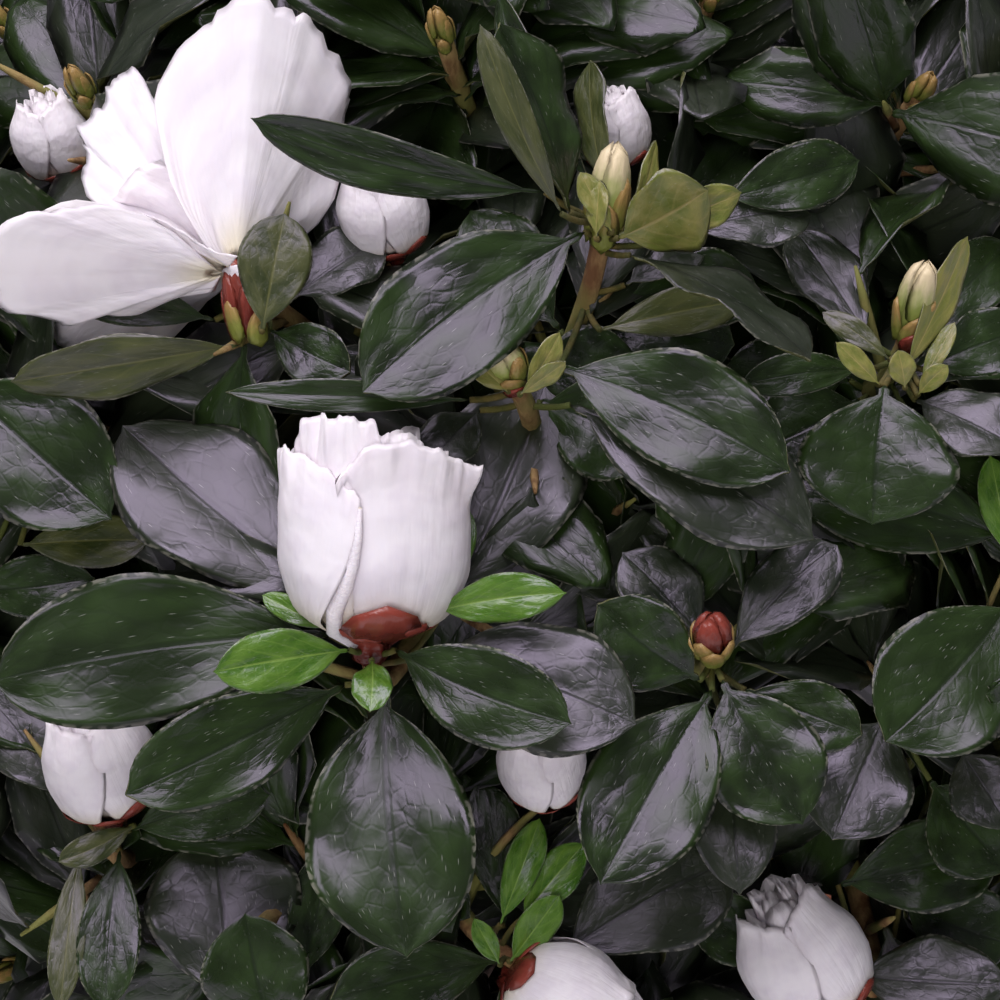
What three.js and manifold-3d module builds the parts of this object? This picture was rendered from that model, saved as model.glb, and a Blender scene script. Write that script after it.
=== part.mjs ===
// An azalea shrub of the florist's kind: a low, dense dome of dark evergreen leaves with white double
// blooms, on a short stem that forks at once, in a plain round clay pot filled with compost.
// Millimetres, +Z up. The origin is the middle of the pot's flat underside, and the side that
// carries the open flower and the best blooms faces -Y, the front.

import * as THREE from "three";
import { mergeVertices } from "three/addons/utils/BufferGeometryUtils.js";
import Module from "manifold-3d";

const wasm = await Module();
wasm.setup();

// Driving dimensions, in millimetres and degrees

const GAP = 0.3; // left between two pieces that touch
const FINEST = 0.02; // corners of a joined solid that lie closer than this are made one
const SEED = 0.37; // starts every chance value

const POT_HEIGHT = 125;
const POT_FOOT_RADIUS = 50;
const POT_BODY_RADIUS = 69; // outside, just under the rim
const POT_RIM_RADIUS = 74;
const POT_RIM_HEIGHT = 24;
const POT_RIM_ROUND = 2.5;
const POT_WALL = 6;
const POT_FLOOR = 8;
const POT_SIDES = 32;
const DRAIN_HOLES = 3;
const DRAIN_RADIUS = 5;
const DRAIN_CIRCLE = 27; // radius of the circle that the drain holes lie on

const COMPOST_DEPTH_BELOW_RIM = 14;
const COMPOST_DOME = 4; // the middle stands this much above the edge

const STEM_FOOT_RADIUS = 13; // at the root flare
const STEM_RADIUS = 8.5;
const STEM_TIP_RADIUS = 5.5;
const STEM_HEIGHT = 56;
const STEM_LEAN = 5; // sideways, at the tip
const LIMB_SIDES = 6;

const CROWN_CENTRE_HEIGHT = 165;
const CROWN_RADIUS = 150; // the leaf tips reach about this far sideways
const CROWN_RISE = 142; // and this far above the centre
const CROWN_DROP = 95; // the same figure for the shoots below the centre
const SHOOT_SHARE = 0.84; // shoots end at this share of the way out
const LOWEST_SHOOT = -18; // degrees below level
const LATTICE_SHOOTS = 78;
const LEAST_SPACING = 26; // between a shoot of the lattice and a named one
const BORDER_ROOM = 7; // a shoot stands at least this far inside its mass's space
const MASS_CLEARANCE = 0.4; // a leaf stays this far inside it
const MOST_CROSSING = 0.3; // cubic millimetres that a leaf may share with another
const POT_CLEARANCE = 3; // leaves stay this far from the pot
const CORE_MIDDLE = 76; // from the crown's centre
const CORE_SHARE = 0.6; // the inner leafage ends at this share of the way out
const CORE_CLEARANCE = 1;

const BOUGH_REACH = 58; // boughs end this far from the crown's centre
const STEM_END = 84; // the stem inside a mass ends here
const TWIG_SIDES = 3;
const TWIG_RADIUS = 1.5;

const LEAF_LENGTH = 41;
const LEAF_WIDTH = 20;
const LEAF_THICKNESS = 1.1;
const LEAF_ROOT = 0.4; // the foot starts this far behind the twig's middle
const LEAVES_A_SHOOT = 5;
const GOLDEN_ANGLE = 137.508;

// The masses of foliage lie in three rings. Turn 0 is the front, and turns run towards +X.
const RINGS = [
  { ring: "top", elevation: 90, places: [""], forkHeight: STEM_HEIGHT, radius: 4.4 },
  {
    ring: "upper",
    elevation: 46,
    places: ["front", "right", "back_right", "back_left", "left"],
    forkHeight: 38,
    radius: 3.3,
  },
  {
    ring: "lower",
    elevation: 4,
    places: ["front", "front_right", "right", "back_right", "back", "back_left", "left", "front_left"],
    forkHeight: 16,
    radius: 3.1,
  },
];
const LOWER_STAGGER = 11; // every second lower bough leaves the stem this much higher

// The shoots of the front shoulder are placed by how they are seen from in front of it: across and up
// from the middle of that view, with the flower's axis tipped this far from the eye, towards a
// bearing on the clock face, 0 being up and 90 to the right.
const VIEW_ELEVATION = 38;
const VIEW_DISTANCE = 343; // from the shoulder's middle
const VIEW_SPREAD = 71.5; // the lattice's shoots that are seen nearer its middle than this have no flower
const SHOULDER_SHOOTS = [
  { across: -17.5, up: -19, tip: 84, clock: 2, flower: "bloom" },
  { across: 29.5, up: -21, tip: 42, clock: 350, flower: "bud" },
  { across: 14, up: 37, tip: 64, clock: 8, flower: "bud" },
  { across: 1.5, up: 17, tip: 45, clock: 330, flower: "bud" },
  { across: 52.5, up: 20, tip: 50, clock: 8, flower: "bud" },
  { across: 1.5, up: -62, tip: 62, clock: 115, flower: "bloom" },
  { across: 46.5, up: -68, tip: 70, clock: 335, flower: "bloom" },
  { across: -54, up: -43, tip: 66, clock: 350, flower: "bloom" },
  { across: -36, up: 31, tip: 38, clock: 315, flower: "open" },
  { across: 61, up: -29, tip: 25, clock: 60, flower: "none" },
  { across: -62, up: 2, tip: 30, clock: 290, flower: "none" },
  { across: -33, up: -58, tip: 30, clock: 240, flower: "none" },
  { across: 56, up: 54, tip: 40, clock: 30, flower: "none" },
  { across: -9, up: 57, tip: 45, clock: 340, flower: "none" },
];
const BLOOM_SHARE = 0.3; // of the other shoots
const OPEN_SHARE = 0.06;
const BUD_SHARE = 0.34;

const COLOURS = {
  clay: { color: 0xa9583a, roughness: 0.85 },
  compost: { color: 0x2e2119, roughness: 1.0 },
  bark: { color: 0x5c4432, roughness: 0.9 },
  foliage: { color: 0x24381c, roughness: 0.45 },
};

// Small tools

const radians = THREE.MathUtils.degToRad;
const vector = (x, y, z) => new THREE.Vector3(x, y, z);
const CROWN_CENTRE = vector(0, 0, CROWN_CENTRE_HEIGHT);
const UP = vector(0, 0, 1);

// A value from 0 to 1 that looks random and depends only on its keys.
function chance(...keys) {
  return keys.reduce((value, key) => {
    const wave = Math.sin(value * 12.9898 + key * 78.233) * 43758.5453;
    return wave - Math.floor(wave);
  }, SEED);
}

function direction(turn, elevation) {
  const level = Math.cos(radians(elevation));
  return vector(
    Math.sin(radians(turn)) * level,
    -Math.cos(radians(turn)) * level,
    Math.sin(radians(elevation)),
  );
}

// How far the crown reaches from its centre in a direction.
function reach(way) {
  const height = way.z > 0 ? CROWN_RISE : CROWN_DROP;
  return 1 / Math.hypot(way.x / CROWN_RADIUS, way.y / CROWN_RADIUS, way.z / height);
}

function solidOf(geometry) {
  const bare = geometry.index ? geometry.toNonIndexed() : geometry.clone();
  bare.deleteAttribute("normal");
  bare.deleteAttribute("uv");
  const merged = mergeVertices(bare, 1e-4);
  return new wasm.Manifold(
    new wasm.Mesh({
      numProp: 3,
      vertProperties: new Float32Array(merged.attributes.position.array),
      triVerts: new Uint32Array(merged.index.array),
    }),
  );
}

function geometryOf(solid) {
  const mesh = solid.getMesh();
  const positions = new Float32Array(mesh.numVert * 3);
  for (let i = 0; i < mesh.numVert; i++) {
    const start = i * mesh.numProp;
    positions.set(mesh.vertProperties.subarray(start, start + 3), i * 3);
  }
  return new THREE.BufferGeometry()
    .setAttribute("position", new THREE.BufferAttribute(positions, 3))
    .setIndex(new THREE.BufferAttribute(mesh.triVerts, 1));
}

// Joins solids into one body. Scraps that touch nothing and sealed hollows are dropped.
function fused(solids) {
  const bodies = wasm.Manifold.union(solids).decompose();
  return bodies.reduce((best, body) => (body.volume() > best.volume() ? body : best));
}

function neighboursOf(faces) {
  const near = new Map();
  for (const [a, b, c] of faces)
    for (const [from, to] of [[a, b], [b, c], [c, a]]) {
      if (!near.has(from)) near.set(from, new Set());
      near.get(from).add(to);
    }
  return near;
}

// An edge that is shorter than the finest detail and can shrink to a point with the body still closed.
function findShortEdge(faces, corners) {
  const near = neighboursOf(faces);
  for (const [from, around] of near)
    for (const to of around) {
      if (corners[from].distanceTo(corners[to]) >= FINEST) continue;
      const shared = [...around].filter((corner) => near.get(to).has(corner));
      if (shared.length === 2) return [from, to];
    }
  return null;
}

// In a joined solid, two corners that nearly touch are made one, or else drawn apart.
function settled(geometry) {
  const position = geometry.attributes.position;
  const corners = Array.from({ length: position.count }, (_, i) => vector().fromBufferAttribute(position, i));
  let faces = [];
  for (let i = 0; i < geometry.index.count; i += 3) faces.push([...geometry.index.array.slice(i, i + 3)]);
  for (let edge = findShortEdge(faces, corners); edge; edge = findShortEdge(faces, corners)) {
    const [kept, dropped] = edge;
    faces = faces
      .map((face) => face.map((corner) => (corner === dropped ? kept : corner)))
      .filter((face) => new Set(face).size === 3);
  }
  const used = [...new Set(faces.flat())];
  used.forEach((one, i) => {
    for (const other of used.slice(i + 1))
      if (corners[one].distanceTo(corners[other]) < FINEST) corners[other].addScalar(FINEST);
  });
  return new THREE.BufferGeometry().setFromPoints(corners).setIndex(faces.flat());
}

function named(name, geometry, look) {
  geometry.computeVertexNormals();
  const material = new THREE.MeshStandardMaterial({ metalness: 0, ...look });
  const mesh = new THREE.Mesh(geometry, material);
  mesh.name = name;
  return mesh;
}

// Turns a shape that stands along +Y into one that stands at a place and points along a way.
function stood(geometry, place, way) {
  const turn = new THREE.Quaternion().setFromUnitVectors(vector(0, 1, 0), way.clone().normalize());
  return geometry.applyQuaternion(turn).translate(place.x, place.y, place.z);
}

// A tapering limb that follows a curve, with flat ends.
function limbGeometry(curve, footRadius, tipRadius, sides, steps) {
  const limb = new THREE.CylinderGeometry(tipRadius, footRadius, 1, sides, steps);
  const position = limb.attributes.position;
  for (let i = 0; i < position.count; i++) {
    const share = THREE.MathUtils.clamp(position.getY(i) + 0.5, 0, 1);
    const along = curve.getTangentAt(share);
    const side = vector(0.31, 0.17, 0.94).cross(along).normalize();
    const back = along.clone().cross(side);
    const place = curve
      .getPointAt(share)
      .addScaledVector(side, position.getZ(i))
      .addScaledVector(back, position.getX(i));
    position.setXYZ(i, place.x, place.y, place.z);
  }
  return limb;
}

// The pot and what fills it

function potRadiusAt(height) {
  const share = height / (POT_HEIGHT - POT_RIM_HEIGHT);
  return THREE.MathUtils.lerp(POT_FOOT_RADIUS, POT_BODY_RADIUS, share);
}

function lathed(profile, sides) {
  const points = profile.map(([radius, height]) => new THREE.Vector2(radius, height));
  return new THREE.LatheGeometry(points, sides).rotateX(Math.PI / 2);
}

function makePot() {
  const underRim = POT_HEIGHT - POT_RIM_HEIGHT;
  const innerTop = POT_RIM_RADIUS - POT_WALL - POT_RIM_ROUND;
  const shell = solidOf(
    lathed(
      [
        [0, 0],
        [POT_FOOT_RADIUS, 0],
        [POT_BODY_RADIUS, underRim],
        [POT_RIM_RADIUS - POT_RIM_ROUND, underRim],
        [POT_RIM_RADIUS, underRim + POT_RIM_ROUND],
        [POT_RIM_RADIUS, POT_HEIGHT - POT_RIM_ROUND],
        [POT_RIM_RADIUS - POT_RIM_ROUND, POT_HEIGHT],
        [innerTop, POT_HEIGHT],
        [potRadiusAt(underRim) - POT_WALL, underRim],
        [potRadiusAt(POT_FLOOR) - POT_WALL, POT_FLOOR],
        [0, POT_FLOOR],
      ],
      POT_SIDES,
    ),
  );
  const holes = [];
  for (let i = 0; i < DRAIN_HOLES; i++) {
    const centre = direction((360 * i) / DRAIN_HOLES, 0).multiplyScalar(DRAIN_CIRCLE);
    const hole = new THREE.CylinderGeometry(DRAIN_RADIUS, DRAIN_RADIUS, POT_FLOOR * 3, 12);
    holes.push(solidOf(stood(hole, centre, UP)));
  }
  return named("pot", geometryOf(shell.subtract(wasm.Manifold.union(holes))), COLOURS.clay);
}

const COMPOST_EDGE_HEIGHT = POT_HEIGHT - COMPOST_DEPTH_BELOW_RIM;
const GROUND_HEIGHT = COMPOST_EDGE_HEIGHT + COMPOST_DOME;

function makeCompost() {
  const underRim = POT_HEIGHT - POT_RIM_HEIGHT;
  const innerTop = POT_RIM_RADIUS - POT_WALL - POT_RIM_ROUND;
  const shareUp = (COMPOST_EDGE_HEIGHT - underRim) / POT_RIM_HEIGHT;
  const edgeRadius = THREE.MathUtils.lerp(potRadiusAt(underRim) - POT_WALL, innerTop, shareUp);
  const profile = [
    [0, POT_FLOOR + GAP],
    [potRadiusAt(POT_FLOOR) - POT_WALL - 2 * GAP, POT_FLOOR + GAP],
    [potRadiusAt(underRim) - POT_WALL - 2 * GAP, underRim],
    [edgeRadius - 2 * GAP, COMPOST_EDGE_HEIGHT],
    [STEM_FOOT_RADIUS * 2, GROUND_HEIGHT],
    [0, GROUND_HEIGHT],
  ];
  return named("compost", geometryOf(solidOf(lathed(profile, POT_SIDES))), COLOURS.compost);
}

// The stem and its boughs

function leanAt(share) {
  return STEM_LEAN * share * share;
}

// The stem's solid, made larger all round by a margin where it is to be cut from a bough.
function stemSolid(margin) {
  const profile = [
    [0, -margin],
    [STEM_FOOT_RADIUS + margin, -margin],
    [STEM_FOOT_RADIUS * 0.78 + margin, 4],
    [STEM_RADIUS + margin, 12],
    [THREE.MathUtils.lerp(STEM_RADIUS, STEM_TIP_RADIUS, 0.5) + margin, 34],
    [STEM_TIP_RADIUS + margin, STEM_HEIGHT + margin],
    [0, STEM_HEIGHT + margin],
  ];
  const stem = lathed(profile, 12);
  const position = stem.attributes.position;
  for (let i = 0; i < position.count; i++) {
    const share = THREE.MathUtils.clamp(position.getZ(i) / STEM_HEIGHT, 0, 1);
    position.setX(i, position.getX(i) + leanAt(share));
  }
  return solidOf(stem.translate(0, 0, GROUND_HEIGHT + GAP));
}

function makeStem() {
  return named("stem", geometryOf(stemSolid(0)), COLOURS.bark);
}

// Every mass: its name, the way its middle lies from the crown's centre, and its bough's fork.
function listMasses() {
  return RINGS.flatMap(({ ring, elevation, places, forkHeight, radius }) =>
    places.map((place, index) => {
      const stagger = ring === "lower" && index % 2 ? LOWER_STAGGER : 0;
      return {
        name: place ? `${ring}_${place}` : ring,
        turn: (360 * index) / places.length,
        way: direction((360 * index) / places.length, elevation),
        leader: ring === "top",
        forkHeight: forkHeight + stagger,
        radius,
      };
    }),
  );
}

function boughCurve(mass) {
  const end = CROWN_CENTRE.clone().addScaledVector(mass.way, BOUGH_REACH);
  const share = mass.forkHeight / STEM_HEIGHT;
  const start = vector(leanAt(share), 0, GROUND_HEIGHT + GAP + mass.forkHeight);
  if (mass.leader) start.z += GAP;
  const outward = mass.leader ? UP : direction(mass.turn, 34);
  const length = start.distanceTo(end);
  return new THREE.CubicBezierCurve3(
    start,
    start.clone().addScaledVector(outward, length * 0.35),
    end.clone().addScaledVector(mass.way, -length * 0.35),
    end,
  );
}

function makeBough(mass) {
  const tipRadius = mass.radius * 0.72;
  const limb = solidOf(limbGeometry(boughCurve(mass), mass.radius, tipRadius, LIMB_SIDES, 5));
  const bough = mass.leader ? limb : fused([limb.subtract(stemSolid(GAP))]);
  return named(`bough_${mass.name}`, settled(geometryOf(bough)), COLOURS.bark);
}

// Where the shoots stand

// The point of the shoots' dome that a sight line from the front meets first, and the shoot's axis.
function shoulderShoot({ across, up, tip, clock, flower }) {
  const out = direction(0, VIEW_ELEVATION);
  const above = direction(0, VIEW_ELEVATION + 90);
  const eye = out.clone().multiplyScalar(reach(out) * SHOOT_SHARE + VIEW_DISTANCE);
  const sight = out.clone().multiplyScalar(-VIEW_DISTANCE).addScaledVector(above, up);
  sight.x += across;
  const dome = vector(CROWN_RADIUS, CROWN_RADIUS, CROWN_RISE).multiplyScalar(SHOOT_SHARE);
  const start = eye.clone().divide(dome);
  const step = sight.clone().divide(dome);
  const along = start.dot(step);
  const share = (-along - Math.sqrt(along ** 2 - step.lengthSq() * (start.lengthSq() - 1))) / step.lengthSq();
  const level = above.multiplyScalar(Math.cos(radians(clock)));
  level.x += Math.sin(radians(clock));
  const axis = out.multiplyScalar(Math.cos(radians(tip))).addScaledVector(level, Math.sin(radians(tip)));
  return { way: eye.addScaledVector(sight, share).normalize(), axis, flower };
}

function isInView(way) {
  const out = direction(0, VIEW_ELEVATION);
  const above = direction(0, VIEW_ELEVATION + 90);
  const arm = way.clone().multiplyScalar(reach(way)).addScaledVector(out, -reach(out)).multiplyScalar(SHOOT_SHARE);
  const share = VIEW_DISTANCE / (VIEW_DISTANCE - arm.dot(out));
  return Math.max(Math.abs(arm.x), Math.abs(arm.dot(above))) * share < VIEW_SPREAD;
}

function flowerFor(index) {
  const draw = chance(index, 5);
  if (draw < BLOOM_SHARE) return "bloom";
  if (draw < BLOOM_SHARE + OPEN_SHARE) return "open";
  if (draw < BLOOM_SHARE + OPEN_SHARE + BUD_SHARE) return "bud";
  return "none";
}

// The shoots of the front shoulder, then an even lattice over the rest of the dome.
function listShoots() {
  const shoots = SHOULDER_SHOOTS.map(shoulderShoot);
  const isFree = (way) =>
    SHOULDER_SHOOTS.every((_, i) => shoots[i].way.distanceTo(way) * CROWN_RADIUS * SHOOT_SHARE > LEAST_SPACING);
  const lowest = Math.sin(radians(LOWEST_SHOOT));
  for (let i = 0; i < LATTICE_SHOOTS; i++) {
    const height = 1 - ((i + 0.5) / LATTICE_SHOOTS) * (1 - lowest);
    const way = direction(i * GOLDEN_ANGLE, THREE.MathUtils.radToDeg(Math.asin(height)));
    const axis = way.clone().multiplyScalar(0.75).addScaledVector(UP, 0.45).normalize();
    if (isFree(way)) shoots.push({ way, axis, flower: isInView(way) ? "none" : flowerFor(i) });
  }
  return shoots;
}

// How far a point lies inside a mass's space, which is a cone from the crown's centre.
function roomAt(point, mass, masses) {
  const arm = point.clone().sub(CROWN_CENTRE);
  const rooms = masses
    .filter((other) => other !== mass)
    .map((other) => {
      const across = mass.way.clone().sub(other.way);
      return arm.dot(across) / across.length();
    });
  return Math.min(...rooms);
}

// Gives each shoot to the mass it stands nearest, moved in from the border where it is too close.
function placeShoot(shoot, masses) {
  const mass = masses.reduce((best, other) =>
    shoot.way.dot(other.way) > shoot.way.dot(best.way) ? other : best,
  );
  const way = shoot.way.clone();
  const tipOf = () => CROWN_CENTRE.clone().addScaledVector(way, reach(way) * SHOOT_SHARE);
  while (roomAt(tipOf(), mass, masses) < BORDER_ROOM) way.addScaledVector(mass.way, 0.03).normalize();
  return { ...shoot, mass, tip: tipOf() };
}

// Leaves, blooms and buds

// A blade's corners: how far along it, how far sideways in half widths, and how high in thicknesses.
const BLADE_CORNERS = [
  [0, 0, 0.5],
  [0, 0, -0.5],
  [0.6, 1, 0],
  [0.6, -1, 0],
  [1, 0, 0],
  [0.58, 0, 1],
];
const BLADE_FACES = [
  [0, 3, 5],
  [3, 4, 5],
  [4, 2, 5],
  [2, 0, 5],
  [1, 2, 3],
  [2, 4, 3],
  [0, 2, 1],
  [3, 0, 1],
];

// A flat-bottomed blade with a thick foot, its widest part past the middle, and a point.
function bladeSolid(foot, along, face, { length, width, arch }) {
  const side = face.clone().cross(along).normalize();
  const corners = BLADE_CORNERS.map(([share, edge, cover]) =>
    foot
      .clone()
      .addScaledVector(along, share * length)
      .addScaledVector(side, (edge * width) / 2)
      .addScaledVector(face, cover * LEAF_THICKNESS + arch * length * Math.sin(share * Math.PI * 1.3)),
  );
  return solidOf(new THREE.BufferGeometry().setFromPoints(corners).setIndex(BLADE_FACES.flat()));
}

function aroundAxis(axis, degrees) {
  const side = vector(0, 1, 0).cross(axis).normalize();
  const back = axis.clone().cross(side);
  const turn = radians(degrees);
  return side.multiplyScalar(Math.cos(turn)).addScaledVector(back, Math.sin(turn));
}

// A blade that leaves an axis at a height along it, turned about it and lifted towards it.
function bladeAt(tip, axis, down, turn, lift, size) {
  const level = aroundAxis(axis, turn);
  const along = level.clone().multiplyScalar(Math.cos(radians(lift)));
  along.addScaledVector(axis, Math.sin(radians(lift)));
  const face = axis.clone().addScaledVector(along, -along.dot(axis)).normalize();
  const foot = tip.clone().addScaledVector(axis, -down).addScaledVector(level, -LEAF_ROOT);
  return bladeSolid(foot, along, face, size);
}

function isClearOfPot(point) {
  const isAbove = point.z > POT_HEIGHT + POT_CLEARANCE;
  return isAbove || Math.hypot(point.x, point.y) > POT_RIM_RADIUS + POT_CLEARANCE;
}

function isInside(solid, mass, masses) {
  const mesh = solid.getMesh();
  for (let i = 0; i < mesh.vertProperties.length; i += mesh.numProp) {
    const corner = vector(...mesh.vertProperties.subarray(i, i + 3));
    if (roomAt(corner, mass, masses) < MASS_CLEARANCE || !isClearOfPot(corner)) return false;
  }
  return true;
}

function turnedProfile(profile, sides, place, way) {
  const points = profile.map(([radius, height]) => new THREE.Vector2(radius, height));
  return solidOf(stood(new THREE.LatheGeometry(points, sides), place, way));
}

// A half-open double bloom is a barrel of petals with a hollow in its frilled top.
const BLOOM_PROFILE = [
  [0, -4],
  [6, -1],
  [13.5, 11],
  [13, 30],
  [0, 24],
];
const BLOOM_SIDES = 7;
const BUD_PROFILE = [
  [0, -4],
  [3.8, 6],
  [0, 18],
];
const OPEN_PETALS = 5;
const PETAL = { length: 36, width: 29, arch: -0.08 };

function flowerSolids({ flower, tip }, axis) {
  if (flower === "none") return [];
  if (flower === "bloom") return [turnedProfile(BLOOM_PROFILE, BLOOM_SIDES, tip, axis)];
  const parts = [turnedProfile(BUD_PROFILE, 4, tip, axis)];
  if (flower === "bud") return parts;
  for (let i = 0; i < OPEN_PETALS; i++)
    parts.push(bladeAt(tip, axis, 0, (360 * i) / OPEN_PETALS, 44, PETAL));
  return parts;
}

// A flower leans towards its mass's middle until it is clear of the border, or stays a bud.
function fittedFlower(shoot, masses) {
  const axis = shoot.axis.clone();
  for (let tries = 0; tries < 14; tries++) {
    const parts = flowerSolids(shoot, axis);
    if (parts.every((part) => isInside(part, shoot.mass, masses))) return parts;
    axis.addScaledVector(shoot.mass.way, 0.12).normalize();
  }
  return [];
}

function twigSolid(shoot) {
  const start = BOUGH_REACH + (STEM_END - BOUGH_REACH) * (0.25 + 0.7 * chance(shoot.number, 21));
  const from = CROWN_CENTRE.clone().addScaledVector(shoot.mass.way, start);
  const end = shoot.tip.clone().addScaledVector(shoot.axis, 1);
  const bend = shoot.tip.clone().addScaledVector(shoot.axis, -0.4 * from.distanceTo(end));
  const curve = new THREE.QuadraticBezierCurve3(from, bend, end);
  return solidOf(limbGeometry(curve, TWIG_RADIUS * 1.35, TWIG_RADIUS, TWIG_SIDES, 2));
}

// A leaf is turned and lifted until it stays in the mass's space and crosses nothing, or is left out.
function leafSolid(shoot, index, around, masses) {
  const draw = (key) => chance(shoot.number, index, key);
  const down = 2.5 + 1.7 * (LEAVES_A_SHOOT - index);
  const turn = index * GOLDEN_ANGLE + 360 * chance(shoot.number, 11);
  const size = {
    length: LEAF_LENGTH * (0.86 + 0.22 * draw(1)),
    width: LEAF_WIDTH * (0.88 + 0.24 * draw(2)),
    arch: 0.06,
  };
  for (let lift = 8 + 14 * draw(3); lift < 70; lift += 13)
    for (const shift of [0, 18, -18, 36, -36, 54, -54]) {
      const leaf = bladeAt(shoot.tip, shoot.axis, down, turn + shift, lift, size);
      if (!isInside(leaf, shoot.mass, masses)) continue;
      if (leaf.intersect(around).volume() < MOST_CROSSING) return leaf;
    }
  return null;
}

// The dense inner leafage of a mass: a faceted lump that fills the inner part of its space.
function coreSolid(mass, masses) {
  const middle = CROWN_CENTRE.clone().addScaledVector(mass.way, CORE_MIDDLE);
  const core = new THREE.IcosahedronGeometry(1, 1);
  const position = core.attributes.position;
  const isRoom = (point) => {
    const arm = point.clone().sub(CROWN_CENTRE);
    const out = arm.length();
    const outermost = reach(arm.clone().divideScalar(out)) * CORE_SHARE;
    const isBetween = out > BOUGH_REACH + 4 && out < outermost;
    return isBetween && roomAt(point, mass, masses) > CORE_CLEARANCE && isClearOfPot(point);
  };
  for (let i = 0; i < position.count; i++) {
    const ray = vector(position.getX(i), position.getY(i), position.getZ(i));
    let length = 2;
    while (length < 60 && isRoom(middle.clone().addScaledVector(ray, length + 1))) length += 1;
    const place = middle.clone().addScaledVector(ray, length);
    position.setXYZ(i, place.x, place.y, place.z);
  }
  return solidOf(core);
}

function makeMass(mass, shoots, masses) {
  const from = CROWN_CENTRE.clone().addScaledVector(mass.way, BOUGH_REACH + GAP);
  const to = CROWN_CENTRE.clone().addScaledVector(mass.way, STEM_END);
  const stem = limbGeometry(new THREE.LineCurve3(from, to), mass.radius * 0.7, TWIG_RADIUS * 1.4, 6, 1);
  const own = shoots.filter((shoot) => shoot.mass === mass);
  const limbs = [solidOf(stem), coreSolid(mass, masses), ...own.map((shoot) => twigSolid(shoot))];
  let blades = wasm.Manifold.union(own.flatMap((shoot) => fittedFlower(shoot, masses)));
  for (let index = 0; index < LEAVES_A_SHOOT; index++)
    for (const shoot of own) {
      const leaf = leafSolid(shoot, index, blades, masses);
      if (leaf) blades = blades.add(leaf);
    }
  return named(`foliage_${mass.name}`, settled(geometryOf(fused([...limbs, blades]))), COLOURS.foliage);
}

const azalea = new THREE.Group();
azalea.add(makePot(), makeCompost(), makeStem());
const masses = listMasses();
const shoots = listShoots().map((shoot, number) => ({ ...placeShoot(shoot, masses), number }));
for (const mass of masses) azalea.add(makeBough(mass), makeMass(mass, shoots, masses));

export default azalea;
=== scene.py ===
"""The looks of the potted azalea shrub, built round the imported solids.

Sizes inside the functions are millimetres, as in the part's source, and each mesh is scaled to
metres when it is made. The origin is the middle of the pot's underside, and the front faces -Y.
"""

import functools
import math
from collections import namedtuple

import bpy
import numpy as np
from mathutils import Matrix, Vector, noise
from mathutils.bvhtree import BVHTree


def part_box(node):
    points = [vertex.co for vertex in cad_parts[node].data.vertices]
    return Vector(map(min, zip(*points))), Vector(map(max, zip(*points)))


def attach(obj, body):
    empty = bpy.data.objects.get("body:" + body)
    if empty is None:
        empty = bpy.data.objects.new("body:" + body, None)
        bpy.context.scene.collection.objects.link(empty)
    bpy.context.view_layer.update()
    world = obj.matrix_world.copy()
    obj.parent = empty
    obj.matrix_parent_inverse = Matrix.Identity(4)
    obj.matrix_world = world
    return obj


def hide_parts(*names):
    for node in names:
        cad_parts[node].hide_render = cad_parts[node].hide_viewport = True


bl_info = {
    "name": "Potted Azalea",
    "version": (1, 0, 0),
    "blender": (4, 5, 0),
    "location": "3D View > Sidebar > Azalea",
    "description": "Builds a potted azalea shrub with white double blooms",
    "category": "Add Mesh",
}

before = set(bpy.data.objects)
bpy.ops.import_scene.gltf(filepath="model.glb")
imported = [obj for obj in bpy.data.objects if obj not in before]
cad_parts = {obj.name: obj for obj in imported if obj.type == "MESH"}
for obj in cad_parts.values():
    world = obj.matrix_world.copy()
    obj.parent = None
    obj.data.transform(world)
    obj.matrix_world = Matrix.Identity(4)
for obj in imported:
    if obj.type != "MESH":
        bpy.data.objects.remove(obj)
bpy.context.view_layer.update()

MM = 0.001
SEED = 0.37

# The plant's own sizes, the same as in the part's source
POT_HEIGHT = 125
POT_FOOT_RADIUS = 50
POT_BODY_RADIUS = 69
POT_RIM_RADIUS = 74
POT_RIM_HEIGHT = 24
POT_WALL = 6
POT_FLOOR = 8
DRAIN_HOLES = 3
DRAIN_RADIUS = 5
DRAIN_CIRCLE = 27
COMPOST_EDGE_HEIGHT = 111
GROUND_HEIGHT = 115
STEM_PROFILE = [(0, 13), (4, 10.1), (12, 8.5), (34, 7), (56, 5.5)]
STEM_HEIGHT = 56
STEM_LEAN = 5
CROWN_CENTRE = np.array([0.0, 0.0, 165.0])
CROWN_RADIUS = 150
CROWN_RISE = 142
CROWN_DROP = 95
SHOOT_SHARE = 0.84
LOWEST_SHOOT = -18
LATTICE_SHOOTS = 78
LEAST_SPACING = 26
BORDER_ROOM = 7
BOUGH_REACH = 58
STEM_END = 84
GOLDEN_ANGLE = 137.508
UPPER_PLACES = ["front", "right", "back_right", "back_left", "left"]
LOWER_PLACES = ["front", "front_right", "right", "back_right", "back", "back_left", "left", "front_left"]
# Rings of masses: name, elevation, places, where the boughs fork off the stem, a bough's radius
RINGS = [
    ("top", 90, [""], STEM_HEIGHT, 4.4),
    ("upper", 46, UPPER_PLACES, 38, 3.3),
    ("lower", 4, LOWER_PLACES, 16, 3.1),
]
LOWER_STAGGER = 11
VIEW_ELEVATION = 38
VIEW_DISTANCE = 343
VIEW_SPREAD = 71.5
VIEW_WIDTH = 135  # of the picture, at the shoulder's middle
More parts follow.
